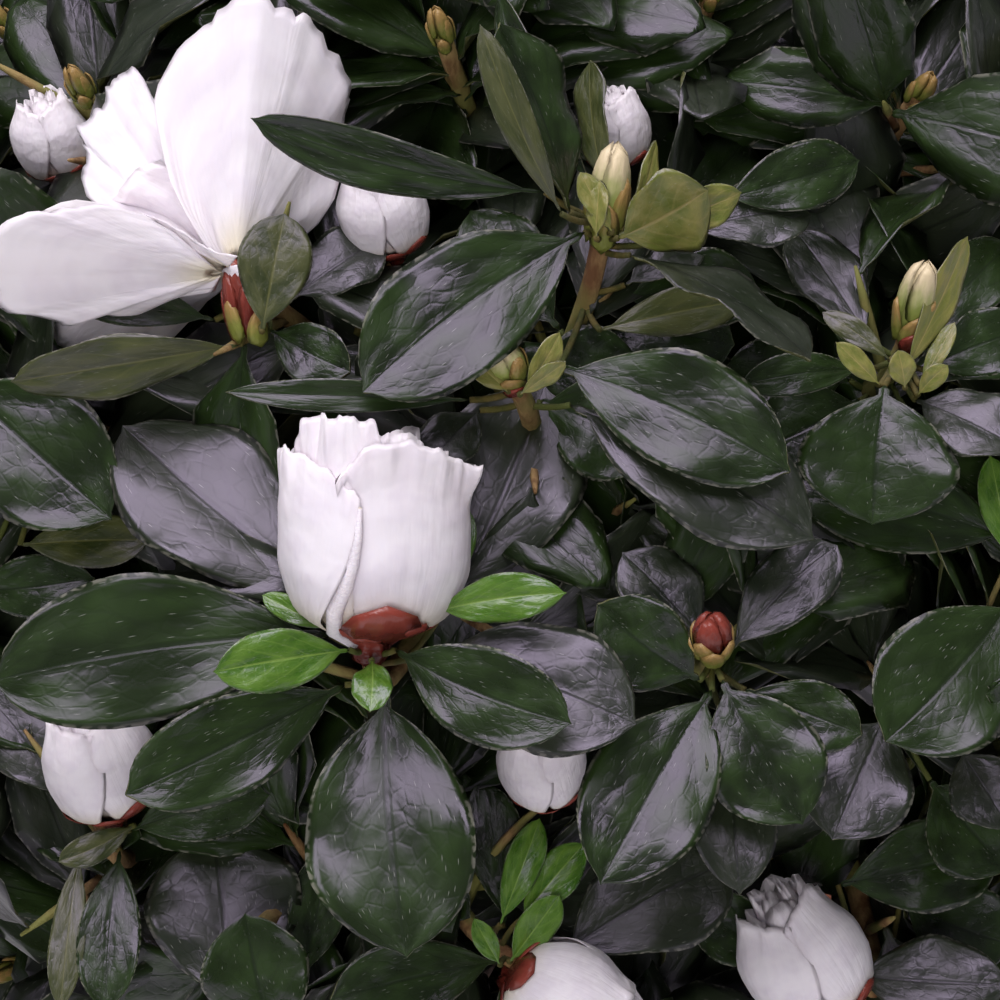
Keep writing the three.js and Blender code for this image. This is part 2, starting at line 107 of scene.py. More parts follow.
# The front shoulder's shoots, in its view: across, up, the axis's tip and clock bearing, the flower
SHOULDER_SHOOTS = [
    (-17.5, -19, 84, 2, "bloom"),
    (29.5, -21, 42, 350, "bud"),
    (14, 37, 64, 8, "bud"),
    (1.5, 17, 45, 330, "bud"),
    (52.5, 20, 50, 8, "bud"),
    (1.5, -62, 62, 115, "bloom"),
    (46.5, -68, 70, 335, "bloom"),
    (-54, -43, 66, 350, "bloom"),
    (-36, 31, 38, 315, "open"),
    (61, -29, 25, 60, "none"),
    (-62, 2, 30, 290, "none"),
    (-33, -58, 30, 240, "none"),
    (56, 54, 40, 30, "none"),
    (-9, 57, 45, 340, "none"),
]
BLOOM_SHARE = 0.3
OPEN_SHARE = 0.06
BUD_SHARE = 0.34
UP = np.array([0.0, 0.0, 1.0])
RIGHT = np.array([1.0, 0.0, 0.0])
BACK = np.array([0.0, 1.0, 0.0])

# What only the looks need
LEAF_TITLES = ["Deep green", "Slate green", "Olive green", "Young green", "Bract", "Underside"]
DEEP, SLATE, OLIVE, YOUNG = range(4)
UNDERSIDE = 5
LEAF_LENGTH = 41
LEAF_WIDTH = 20
LEAF_KINDS = 6
PETAL_THICKNESS = 0.3
CUP_HEIGHT = 26  # of a half-open bloom that cup_radius is drawn for
STALK_ROOM = 8  # kept free of the rule's leaves at a drawn shoot's end
FULL_SPRAY = 11  # leaves at the end of a shoot that the rule covers alone
TOP_SPRAY = 6  # leaves that the rule adds to a drawn shoot, and leaves of a finer twig
STEEPEST_LIFT = 74
OVERHEAD = np.array([-200.0, -20.0, 1250.0])  # the overhead light
DARK_ELEVATION = 41  # of the way that a shoulder leaf's upper side faces
GLOSSY_ELEVATION = 66  # the same for the slate leaves, which show the gloss
CRUMB_KINDS = 4
CRUMB_DENSITY = 90000.0  # on a square metre
PALE_SHARE = 0.07  # of the crumbs
FLOOR_REACH = 3200
SENSOR_WIDTH = 36

Mass = namedtuple("Mass", "name turn way leader fork radius")
Shoot = namedtuple("Shoot", "number way axis flower mass tip")
Sprig = namedtuple("Sprig", "number tip axis mass leaves size depth")


# Small sums


def unit(arrow):
    return arrow / np.linalg.norm(arrow)


def chance(*keys):
    """A value from 0 to 1 that looks random and depends only on its keys."""
    value = SEED
    for key in keys:
        wave = math.sin(value * 12.9898 + key * 78.233) * 43758.5453
        value = wave - math.floor(wave)
    return value


def direction(turn, elevation):
    turn, elevation = math.radians(turn), math.radians(elevation)
    level = math.cos(elevation)
    return np.array([math.sin(turn) * level, -math.cos(turn) * level, math.sin(elevation)])


def reach(way):
    height = CROWN_RISE if way[2] > 0 else CROWN_DROP
    return 1 / math.hypot(way[0] / CROWN_RADIUS, way[1] / CROWN_RADIUS, way[2] / height)


def eased(value, low, high):
    share = np.clip((value - low) / (high - low), 0, 1)
    return share * share * (3 - 2 * share)


def turned(arrow, axis, degrees):
    axis, angle = unit(axis), math.radians(degrees)
    along = axis * (axis @ arrow) * (1 - math.cos(angle))
    return arrow * math.cos(angle) + np.cross(axis, arrow) * math.sin(angle) + along


def square_to(axis, arrow):
    """An arrow without its share along an axis, one unit long."""
    return unit(arrow - axis * (axis @ arrow))


def lifted(level, axis, degrees):
    """A way that rises from a level one towards an axis."""
    return level * math.cos(math.radians(degrees)) + axis * math.sin(math.radians(degrees))


def upright_frame(axis):
    """A flower's sideways, backward and upward ways, with the first one level to the right."""
    side = square_to(axis, RIGHT)
    return side, np.cross(axis, side), axis


def bezier(points, share):
    """A point on the curve of three or four handles, at a share of its way."""
    points = [np.asarray(point, float) for point in points]
    while len(points) > 1:
        points = [a + (b - a) * share for a, b in zip(points, points[1:])]
    return points[0]


# The view of the front shoulder, which is the picture's


OUT = direction(0, VIEW_ELEVATION)
ABOVE = direction(0, VIEW_ELEVATION + 90)
SHOULDER_ARM = OUT * reach(OUT) * SHOOT_SHARE  # from the crown's centre
EYE = CROWN_CENTRE + SHOULDER_ARM + OUT * VIEW_DISTANCE


def depth_share(eye, sight):
    """How far along a sight line, as a share of it, it meets the shoots' dome, from the crown's centre."""
    dome = np.array([CROWN_RADIUS, CROWN_RADIUS, CROWN_RISE]) * SHOOT_SHARE
    start, step = eye / dome, sight / dome
    along = start @ step
    return (-along - math.sqrt(along**2 - (step @ step) * (start @ start - 1))) / (step @ step)


def is_in_view(point, spread=VIEW_SPREAD):
    """True for a point, from the crown's centre, that is seen within the front shoulder's view."""
    arm = point - SHOULDER_ARM
    share = VIEW_DISTANCE / (VIEW_DISTANCE - arm @ OUT)
    return max(abs(arm[0]), abs(arm @ ABOVE)) * share < spread


def axis_of(tip, clock):
    """A way by its angle from the line of sight and its clock angle in the picture."""
    tip, clock = math.radians(tip), math.radians(clock)
    return OUT * math.cos(tip) + (ABOVE * math.cos(clock) + RIGHT * math.sin(clock)) * math.sin(tip)


def sight_to(across, down):
    """The sight line to a place of the picture, across and down in thousandths of it, one unit deep."""
    x = (across - 500) / 1000 * VIEW_WIDTH
    y = (500 - down) / 1000 * VIEW_WIDTH
    return (RIGHT * x + ABOVE * y) / VIEW_DISTANCE - OUT


def seen_at(across, down, depth):
    return EYE + sight_to(across, down) * depth


def depth_of(point):
    return (EYE - point) @ OUT


def dome_depth(across, down):
    return depth_share(EYE - CROWN_CENTRE, sight_to(across, down))


# How the plant grows: the source's rule, written again


def lean_at(share):
    return STEM_LEAN * share * share


@functools.cache
def list_masses():
    masses = []
    for ring, elevation, places, fork, radius in RINGS:
        for index, place in enumerate(places):
            turn = 360 * index / len(places)
            stagger = LOWER_STAGGER if ring == "lower" and index % 2 else 0
            name = f"{ring}_{place}" if place else ring
            way = direction(turn, elevation)
            masses.append(Mass(name, turn, way, ring == "top", fork + stagger, radius))
    return masses


def bough_handles(mass):
    share = mass.fork / STEM_HEIGHT
    start = np.array([lean_at(share), 0, GROUND_HEIGHT + 0.3 + mass.fork])
    end = CROWN_CENTRE + mass.way * BOUGH_REACH
    outward = UP if mass.leader else direction(mass.turn, 34)
    length = np.linalg.norm(end - start)
    return [start, start + outward * length * 0.35, end - mass.way * length * 0.35, end]


def shoulder_shoot(across, up, tip, clock, flower):
    eye = SHOULDER_ARM + OUT * VIEW_DISTANCE
    sight = -VIEW_DISTANCE * OUT + up * ABOVE + across * RIGHT
    place = eye + sight * depth_share(eye, sight)
    return unit(place), axis_of(tip, clock), flower


def flower_for(index):
    draw = chance(index, 5)
    if draw < BLOOM_SHARE:
        return "bloom"
    if draw < BLOOM_SHARE + OPEN_SHARE:
        return "open"
    return "bud" if draw < BLOOM_SHARE + OPEN_SHARE + BUD_SHARE else "none"


def room_at(point, mass):
    """How far a point lies inside a mass's space, which is a cone from the crown's centre."""
    arm = point - CROWN_CENTRE
    others = (mass.way - other.way for other in list_masses() if other.name != mass.name)
    return min(arm @ across / np.linalg.norm(across) for across in others)


def place_shoot(number, way, axis, flower):
    mass = max(list_masses(), key=lambda other: way @ other.way)
    while room_at(CROWN_CENTRE + way * reach(way) * SHOOT_SHARE, mass) < BORDER_ROOM:
        way = unit(way + 0.03 * mass.way)
    return Shoot(number, way, axis, flower, mass, CROWN_CENTRE + way * reach(way) * SHOOT_SHARE)


@functools.cache
def list_shoots():
    """The shoots of the front shoulder, then an even lattice over the rest of the dome."""
    found = [shoulder_shoot(*row) for row in SHOULDER_SHOOTS]
    named = [way for way, _, _ in found]
    lowest = math.sin(math.radians(LOWEST_SHOOT))
    for i in range(LATTICE_SHOOTS):
        height = 1 - (i + 0.5) / LATTICE_SHOOTS * (1 - lowest)
        way = direction(i * GOLDEN_ANGLE, math.degrees(math.asin(height)))
        spacing = min(np.linalg.norm(way - other) for other in named) * CROWN_RADIUS * SHOOT_SHARE
        if spacing > LEAST_SPACING:
            is_bare = is_in_view(way * reach(way) * SHOOT_SHARE)
            found.append((way, unit(0.75 * way + 0.45 * UP), "none" if is_bare else flower_for(i)))
    return [place_shoot(number, *row) for number, row in enumerate(found)]


def twig_handles(shoot):
    start = BOUGH_REACH + (STEM_END - BOUGH_REACH) * (0.25 + 0.7 * chance(shoot.number, 21))
    begin = CROWN_CENTRE + shoot.mass.way * start
    end = shoot.tip + shoot.axis
    bend = shoot.tip - shoot.axis * 0.4 * np.linalg.norm(begin - end)
    return [begin, bend, end]


def side_sprigs(shoot, count=8):
    """Finer twigs that leave a shoot's twig on its way out, each with a few leaves."""
    handles = twig_handles(shoot)
    sprigs = []
    for index in range(count):
        share = 0.1 + 0.74 * index / (count - 1)
        start = bezier(handles, share)
        along = unit(bezier(handles, share + 0.05) - start)
        turn = index * GOLDEN_ANGLE + 360 * chance(shoot.number, 31)
        level = turned(unit(np.cross(along, RIGHT + 0.3 * UP)), along, turn)
        axis = unit(level * 0.8 + along * 0.55 + UP * 0.25)
        tip = start + axis * (15 + 9 * chance(shoot.number, index, 33))
        if is_clear_of_pot(tip, 12) and room_at(tip, shoot.mass) > 2:
            number = 1000 + shoot.number * 10 + index
            depth = 2 if share < 0.35 else 1
            sprigs.append((start, Sprig(number, tip, axis, shoot.mass, TOP_SPRAY, 0.88, depth)))
    return sprigs


def around_axis(axis, degrees):
    side = unit(np.cross(BACK, axis))
    return turned(side, axis, degrees)


def is_clear_of_pot(point, margin=3.0):
    return point[2] > POT_HEIGHT + margin or math.hypot(point[0], point[1]) > POT_RIM_RADIUS + margin


# Meshes


class Gathered:
    """Shapes gathered into one mesh. A shape is its corners, faces, pattern places and the faces' looks,
    and each shape that is added has a shade of its own."""

    def __init__(self):
        self.corners, self.faces, self.spots, self.looks, self.shades = [], [], [], [], []
        self.count = 0

    def add(self, shape, look=None, shade=0.5):
        corners, faces, spots, looks = shape
        self.corners.append(corners)
        self.faces += [tuple(i + self.count for i in face) for face in faces]
        self.spots.append(spots)
        self.looks += looks if look is None else [look] * len(faces)
        self.shades.append(np.full(len(corners), shade))
        self.count += len(corners)

    def shape(self):
        return np.concatenate(self.corners), self.faces, np.concatenate(self.spots), self.looks

    def mesh(self, name, materials=()):
        mesh = bpy.data.meshes.new(name)
        mesh.from_pydata((np.concatenate(self.corners) * MM).tolist(), [], self.faces)
        for material in materials:
            mesh.materials.append(material)
        mesh.polygons.foreach_set("use_smooth", [True] * len(self.faces))
        if materials:
            mesh.polygons.foreach_set("material_index", self.looks)
        spots = np.concatenate(self.spots)
        loops = np.zeros(len(mesh.loops), int)
        mesh.loops.foreach_get("vertex_index", loops)
        layer = mesh.uv_layers.new(name="UVMap")
        layer.uv.foreach_set("vector", spots[loops].astype(np.float32).ravel())
        shade = mesh.attributes.new("shade", "FLOAT", "POINT")
        shade.data.foreach_set("value", np.concatenate(self.shades).astype(np.float32))
        look = mesh.attributes.new("look", "INT", "FACE")
        look.data.foreach_set("value", self.looks)
        mesh.update()
        return mesh

    def piece(self, name, materials):
        return show(bpy.data.objects.new(name, self.mesh(name, materials)))

    def tree(self):
        corners = np.concatenate(self.corners)
        return BVHTree.FromPolygons(corners.tolist(), self.faces)


def closed_sheet(grid, thickness, pinched=(True, True), looks=(0, 1)):
    """A thin closed body: a grid's upper side, and an underside that meets it at the rim."""
    rows, columns = grid.shape[:2]
    up = np.cross(np.gradient(grid, axis=1), np.gradient(grid, axis=0))
    up /= np.linalg.norm(up, axis=2, keepdims=True) + 1e-9
    inner = np.zeros((rows, columns), bool)
    inner[1:-1, 1:-1] = True
    top = np.arange(rows * columns).reshape(rows, columns)
    below = top.copy()
    below[inner] = rows * columns + np.arange(inner.sum())
    for row, is_pinched in ((0, pinched[0]), (rows - 1, pinched[1])):
        if is_pinched:
            top[row] = below[row] = top[row, 0]
    corners = np.concatenate([grid.reshape(-1, 3), (grid - up * thickness)[inner]])
    shares = np.meshgrid(np.linspace(0, 1, rows), np.linspace(0, 1, columns), indexing="ij")
    share = np.stack(shares, 2)
    spots = np.concatenate([share.reshape(-1, 2), share[inner]])[:, ::-1]
    faces, sides = [], []
    for numbers, side in ((top, looks[0]), (below, looks[1])):
        for r in range(rows - 1):
            for c in range(columns - 1):
                face = [numbers[r, c], numbers[r, c + 1], numbers[r + 1, c + 1], numbers[r + 1, c]]
                face = list(dict.fromkeys(int(i) for i in face))
                if len(face) > 2:
                    faces.append(face if numbers is top else face[:1] + face[:0:-1])
                    sides.append(side)
    used, places = np.unique(np.concatenate([np.array(face) for face in faces]), return_inverse=True)
    fresh, start = [], 0
    for face in faces:
        fresh.append(tuple(int(i) for i in places[start : start + len(face)]))
        start += len(face)
    return corners[used], fresh, spots[used], sides


def tube(points, radii, sides=8, look=0):
    """A round limb along points, closed at both ends."""
    points = np.array(points, float)
    along = np.gradient(points, axis=0)
    along /= np.linalg.norm(along, axis=1, keepdims=True)
    side = unit(np.cross([0.31, 0.17, 0.94], along[0]))
    corners, spots = [], []
    run = 0.0
    for i, (point, radius) in enumerate(zip(points, radii)):
        if i:
            run += np.linalg.norm(point - points[i - 1])
        side = square_to(along[i], side)
        back = np.cross(along[i], side)
        for k in range(sides):
            angle = 2 * math.pi * k / sides
            corners.append(point + radius * (side * math.cos(angle) + back * math.sin(angle)))
            spots.append((k / sides, run))
    faces = []
    for i in range(len(points) - 1):
        for k in range(sides):
            a, b = i * sides + k, i * sides + (k + 1) % sides
            faces.append((a, b, b + sides, a + sides))
    last = len(corners)
    corners += [points[0], points[-1]]
    spots += [(0.5, 0), (0.5, run)]
    for k in range(sides):
        n = (k + 1) % sides
        faces.append((n, k, last))
        faces.append((last - sides + k, last - sides + n, last + 1))
    return np.array(corners), faces, np.array(spots), [look] * len(faces)


def limb(handles, radii, sides):
    """A tube along the curve of its handles, with a ring for each radius."""
    return tube([bezier(handles, share) for share in np.linspace(0, 1, len(radii))], radii, sides)


def petal_sheet(grid, thickness=PETAL_THICKNESS):
    return closed_sheet(grid, thickness, (False, False), (0, 0))


def lathe(profile, sides, look=0):
    """A profile of radius and height, turned about the z axis. Its ends lie on the axis."""
    corners, spots, rings = [], [], []
    for i, (radius, height) in enumerate(profile):
        count = 1 if radius < 1e-6 else sides
        rings.append([len(corners) + k for k in range(count)])
        for k in range(count):
            angle = 2 * math.pi * k / sides
            corners.append((radius * math.cos(angle), radius * math.sin(angle), height))
            spots.append((k / sides, i / (len(profile) - 1)))
    faces = []
    for low, high in zip(rings, rings[1:]):
        for k in range(sides):
            n = (k + 1) % sides
            face = [low[k % len(low)], low[n % len(low)], high[n % len(high)], high[k % len(high)]]
            face = list(dict.fromkeys(face))
            if len(face) > 2:
                faces.append(tuple(face))
    return np.array(corners), faces, np.array(spots), [look] * len(faces)


def stood(shape, foot, side, along, face, scale=(1, 1, 1)):
    """A shape drawn on x, y and z, set down on a foot and three arrows."""
    corners, faces, spots, looks = shape
    placed = foot + (corners * scale) @ np.array([side, along, face])
    return placed, faces, spots, looks


# Leaves


def leaf_outline(share, point=0.66, stalk=0.07):
    """Half the width of a blade, as a share of its greatest, along it. It ends in a fine point."""
    blade = np.clip((share - stalk) / (0.98 - stalk), 0, 1)
    fullest = 0.86 / (0.86 + point)
    half = blade**0.86 * (1 - blade) ** point
    half = half / (fullest**0.86 * (1 - fullest) ** point)
    tip = np.where(share > 0.9, 0.06 * np.clip((1 - share) / 0.05, 0, 1) ** 0.7, 0)
    foot = 0.07 * (1 - eased(share, stalk, stalk + 0.08))
    return np.maximum(np.maximum(half, tip), foot)


def leaf_grid(length, width, rows, columns, arch, puff, fold, twist, sweep, wave, seed, point, droop=0.0):
    """A blade's upper side: x across, y along, z up. Its midrib is sunken, its halves are rounded,
    and the fold lifts both of them."""
    share = np.concatenate([[0, 0.035], 0.07 + 0.93 * (1 - np.cos(np.linspace(0, math.pi, rows - 2))) / 2])
    across = np.linspace(-1, 1, columns)
    half = width / 2 * leaf_outline(share, point)
    half[0] = half[-1] = 0
    s, t = share[:, None], across[None, :]
    x = t * half[:, None]
    span = np.abs(t)
    lift = half[:, None] * (puff * (1.15 * span**0.75 - 1.0 * span**2.3) + fold * span**4)
    lift = lift + arch * length * 4 * s * (1 - s) - droop * length * s**2
    lift = lift + wave * half[:, None] * span**2 * np.sin(2 * math.pi * (s * 2.1 + seed) + 2.0 * t)
    angle = np.radians(twist) * (s - 0.3)
    swept = x * np.cos(angle) + sweep * length * 4 * s * (1 - s)
    return np.stack([swept, s * length + 0 * x, lift + x * np.sin(angle)], 2)


def leaf_shape(length, width, rows, columns, **how):
    return closed_sheet(leaf_grid(length, width, rows, columns, **how), 0.4)


# Leaves of the shoulder's shoots: foot and tip in the picture, greatest width there, how much nearer
# the tip is than the foot, how far the foot stands out of its shoot, roll, and tint, in the order of
# leaf_materials.
FRONT_LEAVES = {
    0: [
        (330, 635, -10, 682, 150, 3, 0, 4, 0), (335, 600, 122, 425, 150, -13, -3, 4, 1),
        (345, 685, 125, 795, 100, 12, -1, -6, 0), (385, 690, 407, 958, 172, 12, -1, 4, 0),
        (395, 650, 572, 724, 98, 10, 4, 4, 0), (430, 650, 637, 725, 132, 9, 0, 6, 1),
        (450, 600, 545, 385, 150, -10, -5, 4, 1), (350, 650, 213, 672, 64, 8, 5, 0, 3),
        (435, 612, 567, 593, 50, 4, 4, 0, 3), (372, 660, 370, 712, 42, 7, 5, 0, 3),
        (330, 630, 262, 595, 26, -2, 3, 0, 3), (440, 600, 470, 510, 30, -4, -1, 0, 3),
    ],
    1: [
        (700, 680, 597, 604, 95, 3, 0, -10, 0), (705, 640, 622, 552, 80, -3, -1, 0, 1),
        (730, 650, 838, 545, 75, -4, -1, 0, 1), (745, 690, 862, 735, 70, 3, -2, 0, 0),
        (722, 680, 803, 825, 120, 4, 2, 0, 0), (712, 690, 600, 885, 132, 12, 0, 8, 0),
        (735, 740, 740, 895, 86, 9, -6, 6, 1),
    ],
    2: [
        (585, 232, 362, 393, 138, 10, 3, 4, 0), (545, 192, 250, 118, 58, 6, 3, -18, 0),
        (562, 214, 480, 24, 38, 8, 9, -10, 2), (570, 212, 500, 22, 62, 2, 3, 46, 0),
        (596, 190, 498, -8, 40, -6, 0, -30, 0), (606, 190, 590, 60, 36, -5, 2, -50, 2),
        (630, 255, 812, 361, 56, 11, 1, -40, 1), (558, 367, 791, 472, 120, 8, 5, -4, 0),
        (618, 238, 708, 190, 84, 2, 4, 44, 4), (612, 232, 580, 172, 26, 2, 4, 10, 4),
        (596, 238, 600, 180, 22, 1, 5, -30, 4), (628, 228, 656, 140, 20, -4, 1, 40, 4),
        (650, 225, 742, 192, 44, -2, 0, 20, 4), (690, 232, 812, 215, 70, -4, -5, 0, 1),
        (720, 200, 860, 160, 70, -8, -5, 0, 0), (600, 330, 750, 300, 50, -6, -3, 0, 2),
        (625, 285, 700, 245, 46, -8, -6, 0, 1), (600, 330, 735, 345, 90, 0, -15, 0, 0),
        (620, 300, 760, 290, 80, -4, -12, 0, 0), (560, 330, 470, 210, 90, -8, -14, 0, 0),
    ],
    3: [
        (570, 405, 815, 540, 118, 7, -3, 0, 1), (470, 400, 225, 392, 34, 4, -2, 0, 0),
        (480, 410, 420, 470, 60, 6, -5, 0, 1), (508, 392, 462, 352, 28, 2, 2, 10, 4),
        (515, 392, 480, 335, 22, 0, 1, -20, 4), (525, 390, 560, 332, 26, 1, 1, 20, 4),
        (520, 395, 566, 362, 20, 3, 2, 30, 4), (540, 400, 660, 455, 110, 4, -13, 0, 0),
        (530, 390, 640, 360, 90, 0, -15, 0, 0),
    ],
    4: [
        (885, 385, 872, 525, 158, 3, 5, 0, 0), (1012, 540, 778, 475, 104, 3, -3, 0, 0),
        (862, 370, 740, 385, 44, 5, -1, 0, 0), (915, 400, 1020, 450, 75, 8, 0, 0, 1),
        (925, 370, 1030, 330, 70, -4, -2, 0, 0), (920, 340, 1010, 245, 70, -10, -3, 0, 0),
        (870, 340, 795, 230, 70, -10, -4, 0, 1), (905, 372, 968, 236, 34, -3, 4, 34, 4),
        (880, 385, 836, 342, 24, 2, 4, 0, 4), (890, 360, 822, 312, 26, -2, 1, 0, 2),
        (905, 388, 898, 350, 28, 2, 6, 0, 4), (920, 385, 955, 322, 20, 0, 3, -20, 4),
        (918, 395, 948, 365, 22, 3, 4, 0, 4), (860, 400, 760, 450, 100, 2, -14, 0, 0),
        (850, 380, 720, 380, 90, 0, -15, 0, 0),
    ],
    5: [
        (500, 960, 330, 1000, 80, 6, -2, 0, 0), (560, 955, 728, 862, 122, -9, -3, 0, 1),
        (500, 925, 540, 818, 38, -4, 2, 0, 3), (520, 920, 585, 843, 46, -4, 1, 0, 3),
        (505, 925, 480, 780, 60, -8, -3, 0, 0), (500, 965, 474, 918, 24, 1, 4, 0, 3),
        (510, 962, 560, 895, 40, 0, 2, 10, 3),
    ],
    6: [
        (850, 975, 1010, 985, 90, 4, 0, 0, 1), (790, 960, 690, 900, 70, 0, -4, 0, 0),
        (838, 885, 1000, 850, 95, -2, -2, 0, 0), (900, 900, 1015, 945, 95, 0, -13, 0, 0),
    ],
    7: [
        (130, 830, 270, 795, 68, 0, 1, 0, 0), (60, 800, -20, 690, 80, -4, -2, 0, 1),
        (80, 850, 60, 1010, 36, 8, 0, 0, 2), (120, 850, 105, 1010, 64, 9, -1, 0, 0),
        (135, 825, 58, 862, 32, 3, 2, 0, 2),
    ],
    8: [
        (262, 332, 285, 213, 74, 0, 5, 0, 2), (240, 345, 10, 382, 62, 3, 2, -30, 2),
        (270, 330, 350, 372, 62, 5, -1, 0, 0), (215, 320, 60, 290, 50, -5, -4, 0, 0),
        (290, 300, 380, 240, 70, -6, -4, 0, 1),
    ],
    9: [
        (1012, 600, 885, 742, 142, 9, 5, 0, 0), (885, 715, 832, 840, 116, 9, 3, 0, 1),
        (1010, 560, 990, 455, 42, -2, 2, 0, 3), (960, 750, 1010, 830, 80, 6, -5, 0, 1),
        (930, 780, 1010, 870, 100, 0, -14, 0, 0),
    ],
    10: [
        (-45, 380, 112, 520, 142, 6, 3, 0, 0), (20, 545, 150, 540, 56, 3, 1, 0, 2),
        (-30, 590, 95, 578, 64, 3, -2, 0, 0),
    ],
    11: [
        (228, 1010, 212, 836, 158, -10, 1, 0, 1), (275, 1045, 245, 913, 108, 2, 4, 0, 0),
        (300, 980, 330, 850, 60, -2, -4, 0, 0),
    ],
}


def front_leaf_frame(shoot, row):
    """Where a shoulder leaf stands: its foot, its three arrows, length and width."""
    foot_x, foot_y, tip_x, tip_y, width, nearer, stands, roll, tint = row
    depth = depth_of(shoot.tip) - stands
    foot = seen_at(foot_x, foot_y, depth)
    tip = seen_at(tip_x, tip_y, depth - nearer)
    along = unit(tip - foot)
    face = direction(0, GLOSSY_ELEVATION if tint == SLATE else DARK_ELEVATION)
    face = turned(square_to(along, face), along, roll)
    side = np.cross(along, face)
    middle = (foot + tip) / 2
    sight = unit(EYE - middle)
    seen = math.sqrt(max(0.1, 1 - (side @ sight) ** 2))
    real = width / 1000 * VIEW_WIDTH * depth_of(middle) / VIEW_DISTANCE / seen
    return foot, side, along, face, np.linalg.norm(tip - foot), real


@functools.cache
def shoulder_leaves():
    """Every shoulder leaf's shape in place, with its tint, foot and shoot."""
    made = []
    for number, rows in FRONT_LEAVES.items():
        shoot = list_shoots()[number]
        for index, row in enumerate(rows):
            foot, side, along, face, length, width = front_leaf_frame(shoot, row)
            draw = functools.partial(chance, number, index)
            tint = row[8]
            how = {
                "arch": 0.03 + 0.05 * draw(51),
                "puff": 0.1 + 0.1 * draw(52) + (0.08 if tint == YOUNG else 0),
                "fold": 0.15 if tint == DEEP else 0.05,
                "twist": 24 * (draw(53) - 0.5),
                "sweep": 0.07 * (draw(54) - 0.5),
                "wave": 0.1 + 0.1 * draw(55),
                "seed": draw(56),
                "point": 0.56 + 0.18 * draw(58),
            }
            shape = stood(leaf_shape(length, width, 22, 15, **how), foot, side, along, face)
            made.append((shape, tint, draw(57), foot, shoot))
    return made


def flower_rooms(shoulder_only=False):
    """A plain barrel round each flower, to keep leaves out of it."""
    gathered = Gathered()
    for flower, profile in (
        ("bloom", [(0, -2), (8, 1), (13.6, 10), (13.6, 28), (0, 29)]),
        ("open", [(0, -2), (10, 2), (36, 22), (30, 30), (0, 12)]),
        ("bud", [(0, -4), (4, 3), (3.4, 10), (0, 15)]),
    ):
        for place in flower_places(flower):
            if not shoulder_only or is_in_view(place.foot - CROWN_CENTRE):
                shape = lathe([(r * place.scale[0], h * place.scale[0]) for r, h in profile], 8)
                gathered.add(stood(shape, place.foot, place.side, place.along, place.face))
    gathered.add(shoulder_open_bloom()[0].shape())
    return gathered


@functools.cache
def shoulder_tree():
    gathered = flower_rooms(True)
    for shape, *_ in shoulder_leaves():
        gathered.add(shape)
    return gathered.tree()


def hides_shoulder(point):
    """True where something at a point would stand before a shoulder leaf, from the eye or the light."""
    for source, distance in ((EYE, 60), (OVERHEAD, 35)):
        away = unit(point - source)
        if shoulder_tree().ray_cast(Vector(point + away * 0.3), Vector(away), distance)[0] is not None:
            return True
    return False


# A plain blade, one unit long and wide, to try a leaf's place with
TEST_BLADE = np.array(
    [[0, 0, 0], [0.5, 0.3, 0], [-0.5, 0.3, 0], [0.5, 0.75, 0], [-0.5, 0.75, 0], [0, 1, 0], [0, 0.5, 0]]
)
TEST_FACES = [(0, 1, 6), (1, 3, 6), (3, 5, 6), (5, 4, 6), (4, 2, 6), (2, 0, 6)]
# Faces that a leaf may cross, on a shoot, on a finer twig and deep in the crown: the count that is
# taken at once, and the most
CROSSED_BY_DEPTH = ((0, 4), (0, 9), (6, 30))


def sample_points(points):
    """A blade's corners and the middles of its faces."""
    return [*points, *(sum(points[i] for i in face) / 3 for face in TEST_FACES)]


def blade_points(foot, side, along, face, length, width):
    return foot + (TEST_BLADE * (width, length, 1)) @ np.array([side, along, face])


def list_sprigs():
    """Every end of a twig that carries leaves: the shoots, then the finer twigs on them."""
    sprigs = []
    for shoot in list_shoots():
        leaves = TOP_SPRAY if shoot.number in FRONT_LEAVES else FULL_SPRAY
        sprigs.append(Sprig(shoot.number, shoot.tip, shoot.axis, shoot.mass, leaves, 1.0, 0))
    for shoot in list_shoots():
        sprigs += [sprig for _, sprig in side_sprigs(shoot)]
    return sprigs


Planted = namedtuple("Planted", "foot side along face scale kind tint shade mass")


def count_crossings(points, drawn, grown, fresh):
    """How many faces of what already stands a blade would cross, those of its own spray thrice."""
    blade = BVHTree.FromPolygons(points.tolist(), TEST_FACES)
    return len(blade.overlap(drawn)) + 3 * len(blade.overlap(fresh)) + len(blade.overlap(grown))


def tree_of_blades(blades):
    starts = range(0, len(blades) * len(TEST_BLADE), len(TEST_BLADE))
    faces = [tuple(i + start for i in face) for start in starts for face in TEST_FACES]
    return BVHTree.FromPolygons(np.concatenate(blades).tolist() if blades else [], faces)


def is_outside(point):
    """True for a point that would be in the pot, or further out than the crown."""
    arm = point - CROWN_CENTRE
    return not is_clear_of_pot(point) or np.linalg.norm(arm) > reach(unit(arm)) * 1.03


def ways_to_stand(sprig, turn, first_lift):
    """A leaf's ways about its twig's end, the lowest lift first: sideways, along and face."""
    for lift in np.arange(first_lift, STEEPEST_LIFT, 12):
        for shift in (0, 18, -18, 36, -36, 54, -54):
            along = lifted(around_axis(sprig.axis, turn + shift), sprig.axis, lift)
            face = square_to(along, sprig.axis)
            yield np.cross(along, face), along, face


